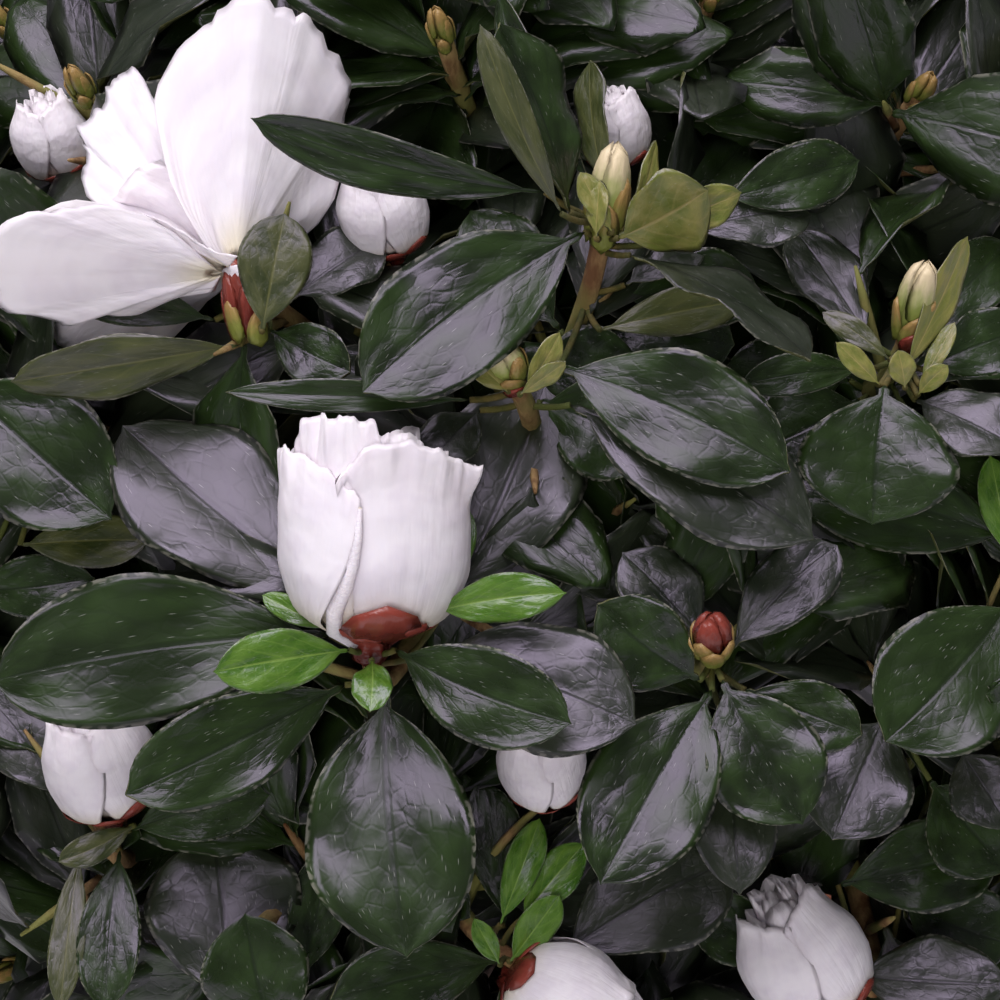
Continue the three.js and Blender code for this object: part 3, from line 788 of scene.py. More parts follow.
def best_stand(sprig, ways, foot, length, width, is_shown, trees):
    """The way in which a leaf crosses least of what stands, with its test blade, or None."""
    few, most = CROSSED_BY_DEPTH[sprig.depth]
    best = None
    for side, along, face in ways:
        points = blade_points(foot + along * 3, side, along, face, length - 3, width)
        is_edgeways = is_shown and sprig.depth < 2 and face @ OUT < 0.35
        if is_edgeways or any(is_outside(point) for point in points):
            continue
        crossed = count_crossings(points, *trees)
        if crossed <= most and any(hides_shoulder(point) for point in sample_points(points)):
            continue
        if best is None or crossed < best[0]:
            best = (crossed, side, along, face, points)
        if crossed <= few:
            break
    return best[1:] if best and best[0] <= most else None


def ruled_tint(sprig, index, draw, is_shown):
    mixed = chance(sprig.number, 41) if draw(4) < 0.6 else draw(5)
    if chance(sprig.number, 43) > 0.84 and index > sprig.leaves - 4 and not is_shown:
        return YOUNG
    return DEEP if mixed < 0.52 else SLATE if mixed < 0.94 or is_shown else OLIVE


@functools.cache
def ruled_leaves():
    """The leaves of the rule, each turned and lifted until it crosses as little as can be, and the
    numbers of the twigs that carry any."""
    placed, blades, middles, leafy = [], [], [], set()
    rooms = flower_rooms()
    for shape, *_ in shoulder_leaves():
        rooms.add(shape)
    drawn = rooms.tree()
    for sprig in list_sprigs():
        near = [blade for blade, middle in zip(blades, middles) if np.linalg.norm(middle - sprig.tip) < 62]
        grown = tree_of_blades(near)
        fresh = []
        is_shown = is_in_view(sprig.tip - CROWN_CENTRE, 78)
        for index in range(sprig.leaves):
            draw = functools.partial(chance, sprig.number, index)
            rank = index / sprig.leaves
            length = LEAF_LENGTH * sprig.size * (1.0 - 0.3 * rank) * (0.8 + 0.26 * draw(1))
            width = length * (0.42 + 0.14 * draw(2))
            down = 1.5 + 1.25 * (sprig.leaves - index) + (STALK_ROOM if sprig.number in FRONT_LEAVES else 0)
            foot = sprig.tip - sprig.axis * down
            turn = index * GOLDEN_ANGLE + 360 * chance(sprig.number, 11)
            ways = ways_to_stand(sprig, turn, 2 + 16 * draw(3) + 2.2 * index)
            trees = (drawn, grown, tree_of_blades(fresh))
            best = best_stand(sprig, ways, foot, length, width, is_shown, trees)
            if not best:
                continue
            side, along, face, points = best
            fresh.append(points)
            leafy.add(sprig.number)
            tint = ruled_tint(sprig, index, draw, is_shown)
            scale = (width / LEAF_WIDTH, length / LEAF_LENGTH, 1)
            kind = int(LEAF_KINDS * draw(6))
            placed.append(Planted(foot, side, along, face, scale, kind, tint, draw(7), sprig.mass.name))
        blades += fresh
        middles += [sum(blade) / len(blade) for blade in fresh]
    return placed, leafy


def leaf_kinds():
    """Shapes of leaf, of a few dozen faces each, for the rule to deal out."""
    kinds = []
    for index in range(LEAF_KINDS):
        draw = functools.partial(chance, 500 + index)
        how = {
            "arch": 0.03 + 0.03 * draw(1),
            "puff": 0.1 + 0.1 * draw(2),
            "fold": 0.16 * draw(9),
            "twist": 40 * (draw(3) - 0.5),
            "sweep": 0.12 * (draw(4) - 0.5),
            "wave": 0.12 + 0.12 * draw(5),
            "droop": 0.02 + 0.16 * draw(6),
            "seed": draw(7),
            "point": 0.56 + 0.2 * draw(8),
        }
        kinds.append(leaf_shape(LEAF_LENGTH, LEAF_WIDTH, 9, 5, **how))
    return kinds


# Node trees


def feed(tree, made, inputs):
    """Links or sets a node's inputs, by their names or numbers."""
    for key, value in inputs.items():
        if isinstance(value, bpy.types.NodeSocket):
            tree.links.new(value, made.inputs[key])
        else:
            made.inputs[key].default_value = value
    return made


def node(tree, kind, inputs, **settings):
    made = tree.nodes.new(kind)
    for name, value in settings.items():
        setattr(made, name, value)
    return feed(tree, made, inputs)


def sums(tree, operation, *values):
    return node(tree, "ShaderNodeMath", dict(enumerate(values)), operation=operation).outputs[0]


def times(tree, first, second):
    return sums(tree, "MULTIPLY", first, second)


def times_plus(tree, first, second, third):
    return sums(tree, "MULTIPLY_ADD", first, second, third)


def rest_of_one(tree, value):
    return sums(tree, "SUBTRACT", 1.0, value)


def between(tree, value, low, high, start=0.0, end=1.0, smooth=True):
    inputs = {"Value": value, "From Min": low, "From Max": high, "To Min": start, "To Max": end}
    kind = "SMOOTHSTEP" if smooth else "LINEAR"
    return node(tree, "ShaderNodeMapRange", inputs, interpolation_type=kind).outputs["Result"]


def blended(tree, share, first, second):
    return node(tree, "ShaderNodeMix", {"Factor": share, 6: first, 7: second}, data_type="RGBA").outputs[2]


def noise_at(tree, place, scale, detail, roughness=0.5, **settings):
    inputs = {"Vector": place, "Scale": scale, "Detail": detail, "Roughness": roughness}
    return node(tree, "ShaderNodeTexNoise", inputs, **settings).outputs["Fac"]


def cells_at(tree, place, scale, feature):
    inputs = {"Vector": place, "Scale": scale}
    return node(tree, "ShaderNodeTexVoronoi", inputs, feature=feature, voronoi_dimensions="2D").outputs


def joined(tree, **parts):
    return node(tree, "ShaderNodeCombineXYZ", parts).outputs[0]


def split(tree, vector):
    return list(node(tree, "ShaderNodeSeparateXYZ", {0: vector}).outputs)


def own_pattern(tree):
    """A leaf's or petal's own pattern place and its shade."""
    place = node(tree, "ShaderNodeUVMap", {}, uv_map="UVMap").outputs["UV"]
    return place, node(tree, "ShaderNodeAttribute", {}, attribute_name="shade").outputs["Fac"]


def object_place(tree):
    return node(tree, "ShaderNodeTexCoord", {}).outputs["Object"]


def bumped(tree, height, strength, distance):
    inputs = {"Height": height, "Strength": strength, "Distance": distance}
    return node(tree, "ShaderNodeBump", inputs).outputs["Normal"]


def group_parts(tree, group, **inputs):
    return node(tree, "ShaderNodeGroup", inputs, node_tree=group).outputs


def new_tree(name, inputs, outputs, kind="ShaderNodeTree"):
    """A node tree with named inputs and outputs: the tree, what it is given, and its end node."""
    tree = bpy.data.node_groups.new(name, kind)
    for title, value_kind, *default in inputs:
        socket = tree.interface.new_socket(name=title, in_out="INPUT", socket_type=f"NodeSocket{value_kind}")
        if default:
            socket.default_value = default[0]
    for title, value_kind in outputs:
        tree.interface.new_socket(name=title, in_out="OUTPUT", socket_type=f"NodeSocket{value_kind}")
    return tree, tree.nodes.new("NodeGroupInput").outputs, tree.nodes.new("NodeGroupOutput")


def new_material(name):
    material = bpy.data.materials.new(name)
    material.use_nodes = True
    tree = material.node_tree
    tree.nodes.clear()
    shader = tree.nodes.new("ShaderNodeBsdfPrincipled")
    node(tree, "ShaderNodeOutputMaterial", {"Surface": shader.outputs["BSDF"]})
    return material, tree, shader


def opaque(colour):
    return tuple(colour) + (1.0,)


def linear(red, green, blue):
    """A colour as it is named on screen, 0 to 255, in the shader's own units."""
    parts = [value / 255 for value in (red, green, blue)]
    return opaque(p / 12.92 if p <= 0.04045 else ((p + 0.055) / 1.055) ** 2.4 for p in parts)


@functools.cache
def leaf_relief():
    """Sunken midrib, side veins, the fine net between them, and short flat hairs."""
    inputs = [("Pattern", "Vector"), ("Side Veins", "Float", 6.0), ("Net", "Float", 21.0)]
    inputs += [("Hairs", "Float", 0.5), ("Shade", "Float", 0.5)]
    outputs = [(title, "Float") for title in ("Height", "Midrib", "Veins", "Hair", "Mottle", "Margin")]
    tree, given, end = new_tree("Leaf relief", inputs, outputs)
    u, v, _ = split(tree, given["Pattern"])
    span = sums(tree, "ABSOLUTE", times_plus(tree, u, 2.0, -1.0))
    # each leaf has its own part of the noise, and 0.5 across is as far as 1 along
    away = times(tree, given["Shade"], 37.0)
    plane = joined(tree, X=times_plus(tree, u, 0.5, away), Y=sums(tree, "ADD", v, away))
    wander = noise_at(tree, plane, 6.0, 2.0, noise_dimensions="2D")
    rib_width = between(tree, v, 0.0, 1.0, 0.1, 0.03, False)
    midrib = rest_of_one(tree, between(tree, sums(tree, "DIVIDE", span, rib_width), 0.2, 1.0))
    # side veins leave the midrib slanting forwards and bend along the margin
    run = times(tree, sums(tree, "POWER", span, 1.25), 0.34)
    phase = sums(tree, "ADD", sums(tree, "SUBTRACT", v, run), times(tree, wander, 0.07))
    wave = sums(tree, "PINGPONG", times(tree, phase, given["Side Veins"]), 0.5)
    side_vein = rest_of_one(tree, between(tree, wave, 0.015, 0.11))
    side_vein = times(tree, side_vein, between(tree, span, 0.98, 0.6))
    net = cells_at(tree, plane, given["Net"], "DISTANCE_TO_EDGE")["Distance"]
    net_line = rest_of_one(tree, between(tree, net, 0.0, 0.14))
    grain = noise_at(tree, plane, 46.0, 1.0, noise_dimensions="2D")
    # hairs lie along the blade, slanting a little outwards
    outwards = sums(tree, "ADD", times(tree, u, 52.0), times_plus(tree, v, 7.0, away))
    strand = cells_at(tree, joined(tree, X=outwards, Y=times_plus(tree, v, 17.0, away)), 1.0, "F1")
    red = node(tree, "ShaderNodeSeparateColor", {0: strand["Color"]}).outputs[0]
    draw = sums(tree, "FRACT", times(tree, red, 7.3))
    keep = sums(tree, "GREATER_THAN", draw, rest_of_one(tree, given["Hairs"]))
    hair = times(tree, keep, rest_of_one(tree, between(tree, strand["Distance"], 0.06, 0.17)))
    height = times(tree, midrib, -0.7)
    between_veins = between(tree, wave, 0.0, 0.45)
    weights = ((side_vein, -0.08), (between_veins, 0.08), (net_line, -0.08), (grain, 0.12), (wander, 3.0))
    for part, weight in (*weights, (hair, 0.05)):
        height = times_plus(tree, part, weight, height)
    veins = sums(tree, "MAXIMUM", side_vein, times(tree, net_line, 0.35))
    # a pale rim along the margin, broken up by the grain: partly the margin's fine hairs, partly painted
    # sheen where the edge catches the light
    margin = times(tree, between(tree, span, 0.93, 0.985), between(tree, grain, 0.4, 0.6))
    feed(tree, end, dict(Height=height, Midrib=midrib, Veins=veins, Hair=hair, Mottle=wander, Margin=margin))
    return tree


def leaf_material(name, dark, light, rib, roughness, hairs=0.13, veins=6.0, relief=0.17, gloss=0.85):
    material, tree, shader = new_material(name)
    place, shade = own_pattern(tree)
    given = {"Pattern": place, "Side Veins": veins, "Hairs": hairs, "Shade": shade}
    parts = group_parts(tree, leaf_relief(), **given)
    base = blended(tree, between(tree, parts["Mottle"], 0.3, 0.75), dark, light)
    base = blended(tree, between(tree, shade, 0.0, 1.0, 0.0, 0.4), base, light)
    for title, weight, colour in (
        ("Veins", 0.25, rib),
        ("Midrib", 0.7, rib),
        ("Hair", 0.45, linear(150, 152, 146)),
        # the pale rim is partly the margin's hairs and partly painted sheen on the edge
        ("Margin", 0.5, linear(150, 148, 136)),
    ):
        base = blended(tree, times(tree, parts[title], weight), base, colour)
    rough = between(tree, parts["Mottle"], 0.25, 0.75, roughness - 0.06, roughness + 0.1, False)
    normal = bumped(tree, parts["Height"], relief, 0.0012)
    feed(tree, shader, {"Base Color": base, "Roughness": rough, "Normal": normal})
    feed(tree, shader, {"Specular IOR Level": gloss, "Specular Tint": (0.87, 0.75, 1.0, 1.0)})
    return material


@functools.cache
def leaf_materials():
    """The five tints of a leaf's upper side, then its underside: dark, light and vein colours,
    roughness, and where it differs from a grown leaf, the hairs, side veins, relief and gloss."""
    dark = opaque(bpy.context.scene.azalea.leaf_colour)
    looks = (
        ("Leaf deep green", None, (38, 56, 22), (26, 38, 18), 0.31, 0.13, 6.0, 0.17, 0.6),
        ("Leaf slate green", (27, 36, 22), (42, 50, 34), (22, 28, 18), 0.36),
        ("Leaf olive green", (44, 54, 22), (68, 74, 34), (88, 90, 46), 0.42),
        ("Leaf young green", (52, 90, 20), (84, 118, 38), (116, 144, 64), 0.3, 0.2, 7.0),
        ("Leaf bract", (92, 104, 40), (126, 124, 62), (150, 138, 84), 0.4, 0.1, 5.0),
        ("Leaf underside", (62, 68, 36), (84, 86, 50), (110, 102, 62), 0.6, 0.25, 6.0, 0.5, 0.3),
    )
    return [
        leaf_material(name, linear(*own) if own else dark, linear(*light), linear(*rib), *others)
        for name, own, light, rib, *others in looks
    ]


@functools.cache
def petal_creases():
    """Fine long creases from a petal's foot to its frill, and soft crumples across them."""
    inputs = [("Pattern", "Vector"), ("Lines", "Float", 26.0), ("Shade", "Float", 0.5)]
    outputs = [("Height", "Float"), ("Foot", "Float"), ("Soft", "Float")]
    tree, given, end = new_tree("Petal creases", inputs, outputs)
    u, v, _ = split(tree, given["Pattern"])
    away = times(tree, given["Shade"], 29.0)
    stretched = joined(tree, X=times_plus(tree, u, given["Lines"], away), Y=times(tree, v, 2.5))
    lines = noise_at(tree, stretched, 1.0, 2.0, noise_dimensions="2D")
    soft = noise_at(tree, joined(tree, X=u, Y=sums(tree, "ADD", v, away)), 5.0, 2.0, noise_dimensions="2D")
    height = times_plus(tree, soft, 1.1, times(tree, lines, 0.3))
    feed(tree, end, dict(Height=height, Foot=between(tree, v, 0.28, 0.0), Soft=soft))
    return tree


@functools.cache
def petal_material():
    material, tree, shader = new_material("White petal")
    place, shade = own_pattern(tree)
    parts = group_parts(tree, petal_creases(), Pattern=place, Shade=shade)
    white = opaque(bpy.context.scene.azalea.petal_colour)
    base = blended(tree, between(tree, parts["Soft"], 0.35, 0.7), white, linear(236, 226, 234))
    base = blended(tree, times(tree, parts["Foot"], 0.75), base, linear(226, 214, 170))
    normal = bumped(tree, parts["Height"], 0.35, 0.001)
    feed(tree, shader, {"Base Color": base, "Roughness": 0.62, "Specular IOR Level": 0.3, "Normal": normal})
    soft = {"Subsurface Weight": 0.4, "Subsurface Radius": (0.004, 0.0035, 0.003), "Subsurface Scale": 0.6}
    feed(tree, shader, soft)
    return material


# Bud scales: the material's name, the colours of a scale's foot and tip, and its roughness
SCALE_LOOKS = {
    "red": ("Bud scale red-brown", (76, 26, 20), (128, 58, 48), 0.26),
    "green": ("Bud scale green", (110, 116, 50), (146, 118, 70), 0.42),
    "white": ("Bud petal", (134, 146, 72), (206, 190, 156), 0.5),
}


@functools.cache
def scale_material(look):
    """A bud scale: one colour at its foot and another at its tip, with long fine lines."""
    name, foot, tip, roughness = SCALE_LOOKS[look]
    material, tree, shader = new_material(name)
    place, shade = own_pattern(tree)
    parts = group_parts(tree, petal_creases(), Pattern=place, Lines=14.0, Shade=shade)
    along = split(tree, place)[1]
    share = between(tree, sums(tree, "ADD", along, times(tree, parts["Soft"], 0.3)), 0.45, 1.0)
    base = blended(tree, share, linear(*foot), linear(*tip))
    normal = bumped(tree, parts["Height"], 0.3, 0.0006)
    feed(tree, shader, {"Base Color": base, "Roughness": roughness, "Normal": normal})
    return material


@functools.cache
def bark_grain():
    """Ridges that run up a limb, and broad patches."""
    inputs = [("Place", "Vector"), ("Scale", "Float", 300.0)]
    tree, given, end = new_tree("Bark grain", inputs, [("Height", "Float"), ("Patch", "Float")])
    longways = {0: given["Place"], 1: (1.0, 1.0, 0.35)}
    stretched = node(tree, "ShaderNodeVectorMath", longways, operation="MULTIPLY").outputs[0]
    ridges = noise_at(tree, stretched, given["Scale"], 5.0, 0.65)
    feed(tree, end, dict(Height=ridges, Patch=noise_at(tree, given["Place"], 60.0, 3.0)))
    return tree


def bark_material(name, dark, light, green=None):
    material, tree, shader = new_material(name)
    parts = group_parts(tree, bark_grain(), Place=object_place(tree))
    base = blended(tree, between(tree, parts["Height"], 0.35, 0.65), linear(*dark), linear(*light))
    if green:
        base = blended(tree, between(tree, parts["Patch"], 0.45, 0.6), base, linear(*green))
    normal = bumped(tree, parts["Height"], 0.7, 0.001)
    feed(tree, shader, {"Base Color": base, "Roughness": 0.85, "Normal": normal})
    return material


def clay_material():
    """Unglazed clay with turning rings, lime bloom low down and damp patches."""
    material, tree, shader = new_material("Fired clay")
    place = object_place(tree)
    clay = opaque(bpy.context.scene.azalea.clay_colour)
    fine = noise_at(tree, place, 420.0, 4.0)
    broad = noise_at(tree, place, 22.0, 5.0, 0.6)
    height = split(tree, place)[2]
    rings = noise_at(tree, joined(tree, Z=height), 900.0, 2.0)
    base = blended(tree, between(tree, fine, 0.3, 0.7), clay, linear(184, 108, 74))
    lime = times(tree, between(tree, broad, 0.52, 0.68), between(tree, height, 0.115, 0.02))
    base = blended(tree, times(tree, lime, 0.55), base, linear(205, 184, 164))
    damp = times(tree, between(tree, broad, 0.6, 0.35), 0.35)
    base = blended(tree, damp, base, linear(126, 66, 44))
    relief = times_plus(tree, fine, 0.5, times(tree, rings, 0.9))
    feed(tree, shader, {"Base Color": base, "Roughness": 0.86, "Normal": bumped(tree, relief, 0.35, 0.0008)})
    return material


def compost_material(name, dark, light):
    material, tree, shader = new_material(name)
    fine = noise_at(tree, object_place(tree), 500.0, 4.0)
    base = blended(tree, between(tree, fine, 0.35, 0.7), linear(*dark), linear(*light))
    feed(tree, shader, {"Base Color": base, "Roughness": 0.95, "Normal": bumped(tree, fine, 0.8, 0.001)})
    return material


# Geometry Nodes: kinds of a thing set out on points


def kept(tree, title, kind):
    """What was kept on a piece's points or faces under a title."""
    return node(tree, "GeometryNodeInputNamedAttribute", {"Name": title}, data_type=kind).outputs[0]


def kinds_of(tree, collection):
    inputs = {"Collection": collection, "Separate Children": True, "Reset Children": True}
    return node(tree, "GeometryNodeCollectionInfo", inputs).outputs[0]


def painted(tree, shape, material, chosen=True):
    inputs = {"Geometry": shape, "Selection": chosen, "Material": material}
    return node(tree, "GeometryNodeSetMaterial", inputs).outputs[0]


def planting_tree(name, looks):
    """Sets one of a collection's kinds on each point, by the point's turn, size and kind. looks has a
    row for each material: its input's name, the look that it covers, and the tint, or None for any."""
    inputs = [("Geometry", "Geometry"), ("Kinds", "Collection"), ("Size", "Float", 1.0)]
    inputs += [(title, "Material") for title, _, _ in looks]
    tree, given, end = new_tree(name, inputs, [("Geometry", "Geometry")], "GeometryNodeTree")
    sizes = {0: kept(tree, "size", "FLOAT_VECTOR"), "Scale": given["Size"]}
    scale = node(tree, "ShaderNodeVectorMath", sizes, operation="SCALE").outputs[0]
    places = {
        "Points": given["Geometry"],
        "Instance": kinds_of(tree, given["Kinds"]),
        "Pick Instance": True,
        "Instance Index": kept(tree, "kind", "INT"),
        "Rotation": kept(tree, "turn", "QUATERNION"),
        "Scale": scale,
    }
    planted = node(tree, "GeometryNodeInstanceOnPoints", places).outputs[0]
    shape = node(tree, "GeometryNodeRealizeInstances", {0: planted}).outputs[0]
    for title, look, tint in looks:
        chosen = equal_to(tree, kept(tree, "look", "INT"), look)
        if tint is not None:
            same = equal_to(tree, kept(tree, "tint", "INT"), tint)
            chosen = node(tree, "FunctionNodeBooleanMath", {0: chosen, 1: same}, operation="AND").outputs[0]
        shape = painted(tree, shape, given[title], chosen)
    feed(tree, end, {0: shape})
    return tree


def equal_to(tree, socket, number):
    compare = node(tree, "FunctionNodeCompare", {}, data_type="INT", operation="EQUAL")
    first, second = [each for each in compare.inputs if each.enabled][:2]
    tree.links.new(socket, first)
    second.default_value = number
    return compare.outputs[0]


def crumb_tree():
    """Strews crumbs over a surface by a seed, a few of them pale."""
    inputs = [("Geometry", "Geometry"), ("Crumbs", "Collection"), ("Density", "Float"), ("Seed", "Int")]
    inputs += [("Peat", "Material"), ("Bits", "Material")]
    tree, given, end = new_tree("Strewn crumbs", inputs, [("Geometry", "Geometry")], "GeometryNodeTree")

    def random_value(kind, output, limits, seed):
        inputs = {**limits, "Seed": seed}
        return node(tree, "FunctionNodeRandomValue", inputs, data_type=kind).outputs[output]

    strewn = {"Mesh": given["Geometry"], "Density": given["Density"], "Seed": given["Seed"]}
    places = {
        "Points": node(tree, "GeometryNodeDistributePointsOnFaces", strewn).outputs["Points"],
        "Instance": kinds_of(tree, given["Crumbs"]),
        "Pick Instance": True,
        "Instance Index": random_value("INT", 2, {4: 0, 5: CRUMB_KINDS - 1}, 9),
        "Rotation": random_value("FLOAT_VECTOR", 0, {1: (6.28, 6.28, 6.28)}, given["Seed"]),
        "Scale": random_value("FLOAT", 1, {2: 0.35, 3: 1.2}, 7),
    }
    placed = node(tree, "GeometryNodeInstanceOnPoints", places).outputs[0]
    pale = random_value("BOOLEAN", 3, {"Probability": PALE_SHARE}, 11)
    marks = {"Geometry": placed, "Name": "look", "Value": pale}
    marked = node(tree, "GeometryNodeStoreNamedAttribute", marks, data_type="BOOLEAN", domain="INSTANCE")
    shape = node(tree, "GeometryNodeRealizeInstances", {0: marked.outputs[0]}).outputs[0]
    shape = painted(tree, shape, given["Peat"])
    shape = painted(tree, shape, given["Bits"], kept(tree, "look", "BOOLEAN"))
    feed(tree, end, {0: shape})
    return tree


def kinds_collection(name, shapes):
    """The kinds as objects of a collection that the scene doesn't show."""
    collection = bpy.data.collections.new(name)
    for index, shape in enumerate(shapes):
        gathered = shape if isinstance(shape, Gathered) else Gathered()
        if gathered is not shape:
            gathered.add(shape)
        mesh = gathered.mesh(f"{name} {index}")
        mesh.attributes.remove(mesh.attributes["shade"])
        collection.objects.link(bpy.data.objects.new(f"{name} {index:02d}", mesh))
    return collection


def set_out(name, tree, inputs, places):
    """A piece: the tree's kinds set out on places, each a Planted, and turned into a plain mesh."""
    mesh = bpy.data.meshes.new(name)
    mesh.from_pydata([tuple(place.foot * MM) for place in places], [], [])
    frames = [np.array([place.side, place.along, place.face]).T.tolist() for place in places]
    turns = [Matrix(rows).to_quaternion() for rows in frames]
    for title, kind, key, values in (
        ("turn", "QUATERNION", "value", [part for turn in turns for part in turn]),
        ("size", "FLOAT_VECTOR", "vector", [part for place in places for part in place.scale]),
        ("kind", "INT", "value", [place.kind for place in places]),
        ("tint", "INT", "value", [place.tint for place in places]),
        ("shade", "FLOAT", "value", [place.shade for place in places]),
    ):
        mesh.attributes.new(title, kind, "POINT").data.foreach_set(key, values)
    piece = show(bpy.data.objects.new(name, mesh))
    apply_tree(piece, tree, inputs)
    return piece


def apply_tree(piece, tree, inputs):
    """Runs a node tree on a piece and keeps what it makes as the piece's plain mesh."""
    modifier = piece.modifiers.new(tree.name, "NODES")
    modifier.node_group = tree
    for item in tree.interface.items_tree:
        if item.item_type == "SOCKET" and item.in_out == "INPUT" and item.name in inputs:
            modifier[item.identifier] = inputs[item.name]
    bpy.context.view_layer.update()
    evaluated = piece.evaluated_get(bpy.context.evaluated_depsgraph_get())
    made = bpy.data.meshes.new_from_object(evaluated)
    old = piece.data
    piece.modifiers.remove(modifier)
    piece.data = made
    made.name = piece.name
    bpy.data.meshes.remove(old)
    for title in ("turn", "size", "kind", "tint", "look"):
        if title in made.attributes:
            made.attributes.remove(made.attributes[title])
    if not len(made.polygons):
        raise RuntimeError(f"{piece.name} came out with no faces")
    made.polygons.foreach_set("use_smooth", [True] * len(made.polygons))


def finished(piece, slot, *nodes):
    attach(piece, "root")
    if nodes:
        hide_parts(*nodes)
    return piece


# Flowers


CUP_PROFILE = [(0.0, 2.2), (0.05, 7.0), (0.16, 10.6), (0.42, 13.0), (0.72, 13.1), (1.0, 12.0)]


def cup_radius(height):
    fine = np.linspace(0, 1, 41)
    rough = np.interp(fine, [row[0] for row in CUP_PROFILE], [row[1] for row in CUP_PROFILE])
    smooth = np.convolve(np.pad(rough, 2, "edge"), [0.1, 0.2, 0.4, 0.2, 0.1], "valid")
    return np.interp(height, fine, smooth)


def frilled(along, seed, wave):
    """A soft ragged line, from about -1 to 1, by the way along a petal's edge and its main wave's length."""
    turn = 2 * math.pi * along / wave
    ragged = np.sin(turn + seed * 40) + 0.5 * np.sin(turn * 2.1 + seed * 97)
    ragged = ragged + 0.25 * np.sin(turn * 4.3 + seed * 57)
    return (0.6 + 0.4 * np.sin(turn * 0.37 + seed * 11)) * ragged / 1.5


def cup_petal(turn, span, height, girth, frill, seed, rows, columns, flare=0.0, tucks=(2.5, 2.5), **how):
    """One petal of a half-open bloom, wrapped round the bloom's axis, z. Its lip is frilled, and its
    edges tuck in. The height is a number, or rows of a place across the petal, from -1 to 1, and
    the height there. The petal narrows to foot_span of its span, and closes in by close."""
    foot_span, close = how.get("foot_span", 0.8), how.get("close", 0.0)
    u = np.linspace(-1, 1, columns)[None, :]
    v = (np.linspace(0, 1, rows) ** 0.85)[:, None]
    across = u * math.radians(span) * 6.5 * girth
    lip = eased(v, 0.74, 1.0)
    angle = np.radians(turn + u * span / 2 * (1 - (1 - foot_span) * (1 - v) ** 2.5))
    if isinstance(height, list):
        height = np.interp(u, *zip(*height))
        height[:, 1:-1] = (height[:, :-2] + height[:, 1:-1] + height[:, 2:]) / 3
    else:
        height = height * (1 - 0.1 * np.abs(u) ** 2.5)
    radius = cup_radius(v) * girth * (1 - close * eased(v, 0.6, 1.0))
    tucked = np.abs(u) ** 4 * np.sin(np.pi * np.clip(v, 0.03, 0.97)) ** 0.4
    radius = radius - np.interp(u, (-1, 1), tucks) * tucked
    radius = radius + (flare + frill * frilled(across, seed, 7.5)) * lip
    radius = radius + 0.5 * np.sin(u * 4 + seed * 31 + v * 2) * np.sin(np.pi * v)
    top = height + 0.5 * frill * frilled(across, seed + 0.4, 4.2)
    grid = np.stack([radius * np.sin(angle), -radius * np.cos(angle), top * v**1.05 + 0 * u], 2)
    return petal_sheet(grid, 0.25)


def hugging_scale(turn, length, width, hug, bottom, look, point=0.75):
    """A small scale that lies against a bud or a bloom's foot. hug is the radius at a height, and
    a point of 0.5 makes the scale round at its tip."""
    angle = math.radians(turn)
    side = np.array([math.cos(angle), math.sin(angle), 0])
    out = np.array([math.sin(angle), -math.cos(angle), 0])
    u = np.linspace(1, -1, 5)[None, :]
    v = np.linspace(0, 1, 7)[:, None]
    widest = 0.5 / (0.5 + point)
    half = width / 2 * (v / widest) ** 0.5 * ((1 - v) / (1 - widest)) ** point
    radius = np.maximum(hug(bottom + v * length), 0.4)
    bend = np.clip(u * half / radius, -1.4, 1.4)
    grid = (
        (radius * np.sin(bend))[..., None] * side
        + (radius * np.cos(bend))[..., None] * out
        + (bottom + v * length + 0 * u)[..., None] * UP
    )
    return closed_sheet(grid, PETAL_THICKNESS, looks=(look, look))


def hugging_scales(gathered, count, length, width, hug, bottom, look, seed, point=0.75):
    """Scales in a spiral, the lower ones shorter and outside."""
    for index in range(count):
        share = index / max(1, count - 1)
        size = length * (0.75 + 0.25 * share + 0.2 * chance(seed, index, 3))
        own = lambda height: hug(height) + 0.5 * (1 - share)
        turn = index * GOLDEN_ANGLE + seed * 360
        scale = hugging_scale(turn, size, width, own, bottom + share, look, point)
        gathered.add(scale, shade=chance(seed, index, 5))


def cup_hug(girth=1.0):
    """How far out a scale lies against a half-open bloom, by its height."""

    def hug(height):
        cup = cup_radius(np.maximum(height, 0) / CUP_HEIGHT) * girth + 0.5
        return np.where(height < 0, 2.4 + 0.2 * height, cup)

    return hug


# Inner petals of a half-open bloom, ring by ring: count, girth, height and frill
INNER_RINGS = ((4, 0.78, 27.0, 0.7), (4, 0.52, 28.4, 0.8), (3, 0.26, 28.6, 0.5))


def half_open_bloom(seed):
    """A half-open double bloom: outer petals round crumpled inner ones, on red-brown scales."""
    gathered = Gathered()
    close = 0.14 + 0.16 * chance(seed, 21)
    for index in range(3):
        draw = functools.partial(chance, seed, index)
        turn = -68 + 125 * index + 14 * draw(2)
        middle = [(-0.6, 25 + 2 * draw(11)), (-0.1, 27 + 3 * draw(12)), (0.4, 24.5 + 3 * draw(13))]
        high = [(-1, 23), *middle, (1, 23)]
        how = {"tucks": (1.3, 0.0), "close": close, "foot_span": 0.55}
        gathered.add(cup_petal(turn, 150, high, 1.0, 0.9, draw(0), 14, 31, **how), 0, draw(7))
    for ring, (count, girth, high, frill) in enumerate(INNER_RINGS):
        for index in range(count):
            draw = functools.partial(chance, seed * 7 + ring * 5 + index)
            turn = 360 * index / count + 50 * ring + 25 * draw(2)
            top = high + 2.5 * draw(3)
            petal = cup_petal(turn, 350 / count, top, girth, frill, draw(4), 9, 17, close=0.35)
            gathered.add(petal, 0, draw(8))
    hugging_scales(gathered, 5, 8.0, 10.0, cup_hug(), -3.0, 1, seed + 3, 0.5)
    return gathered


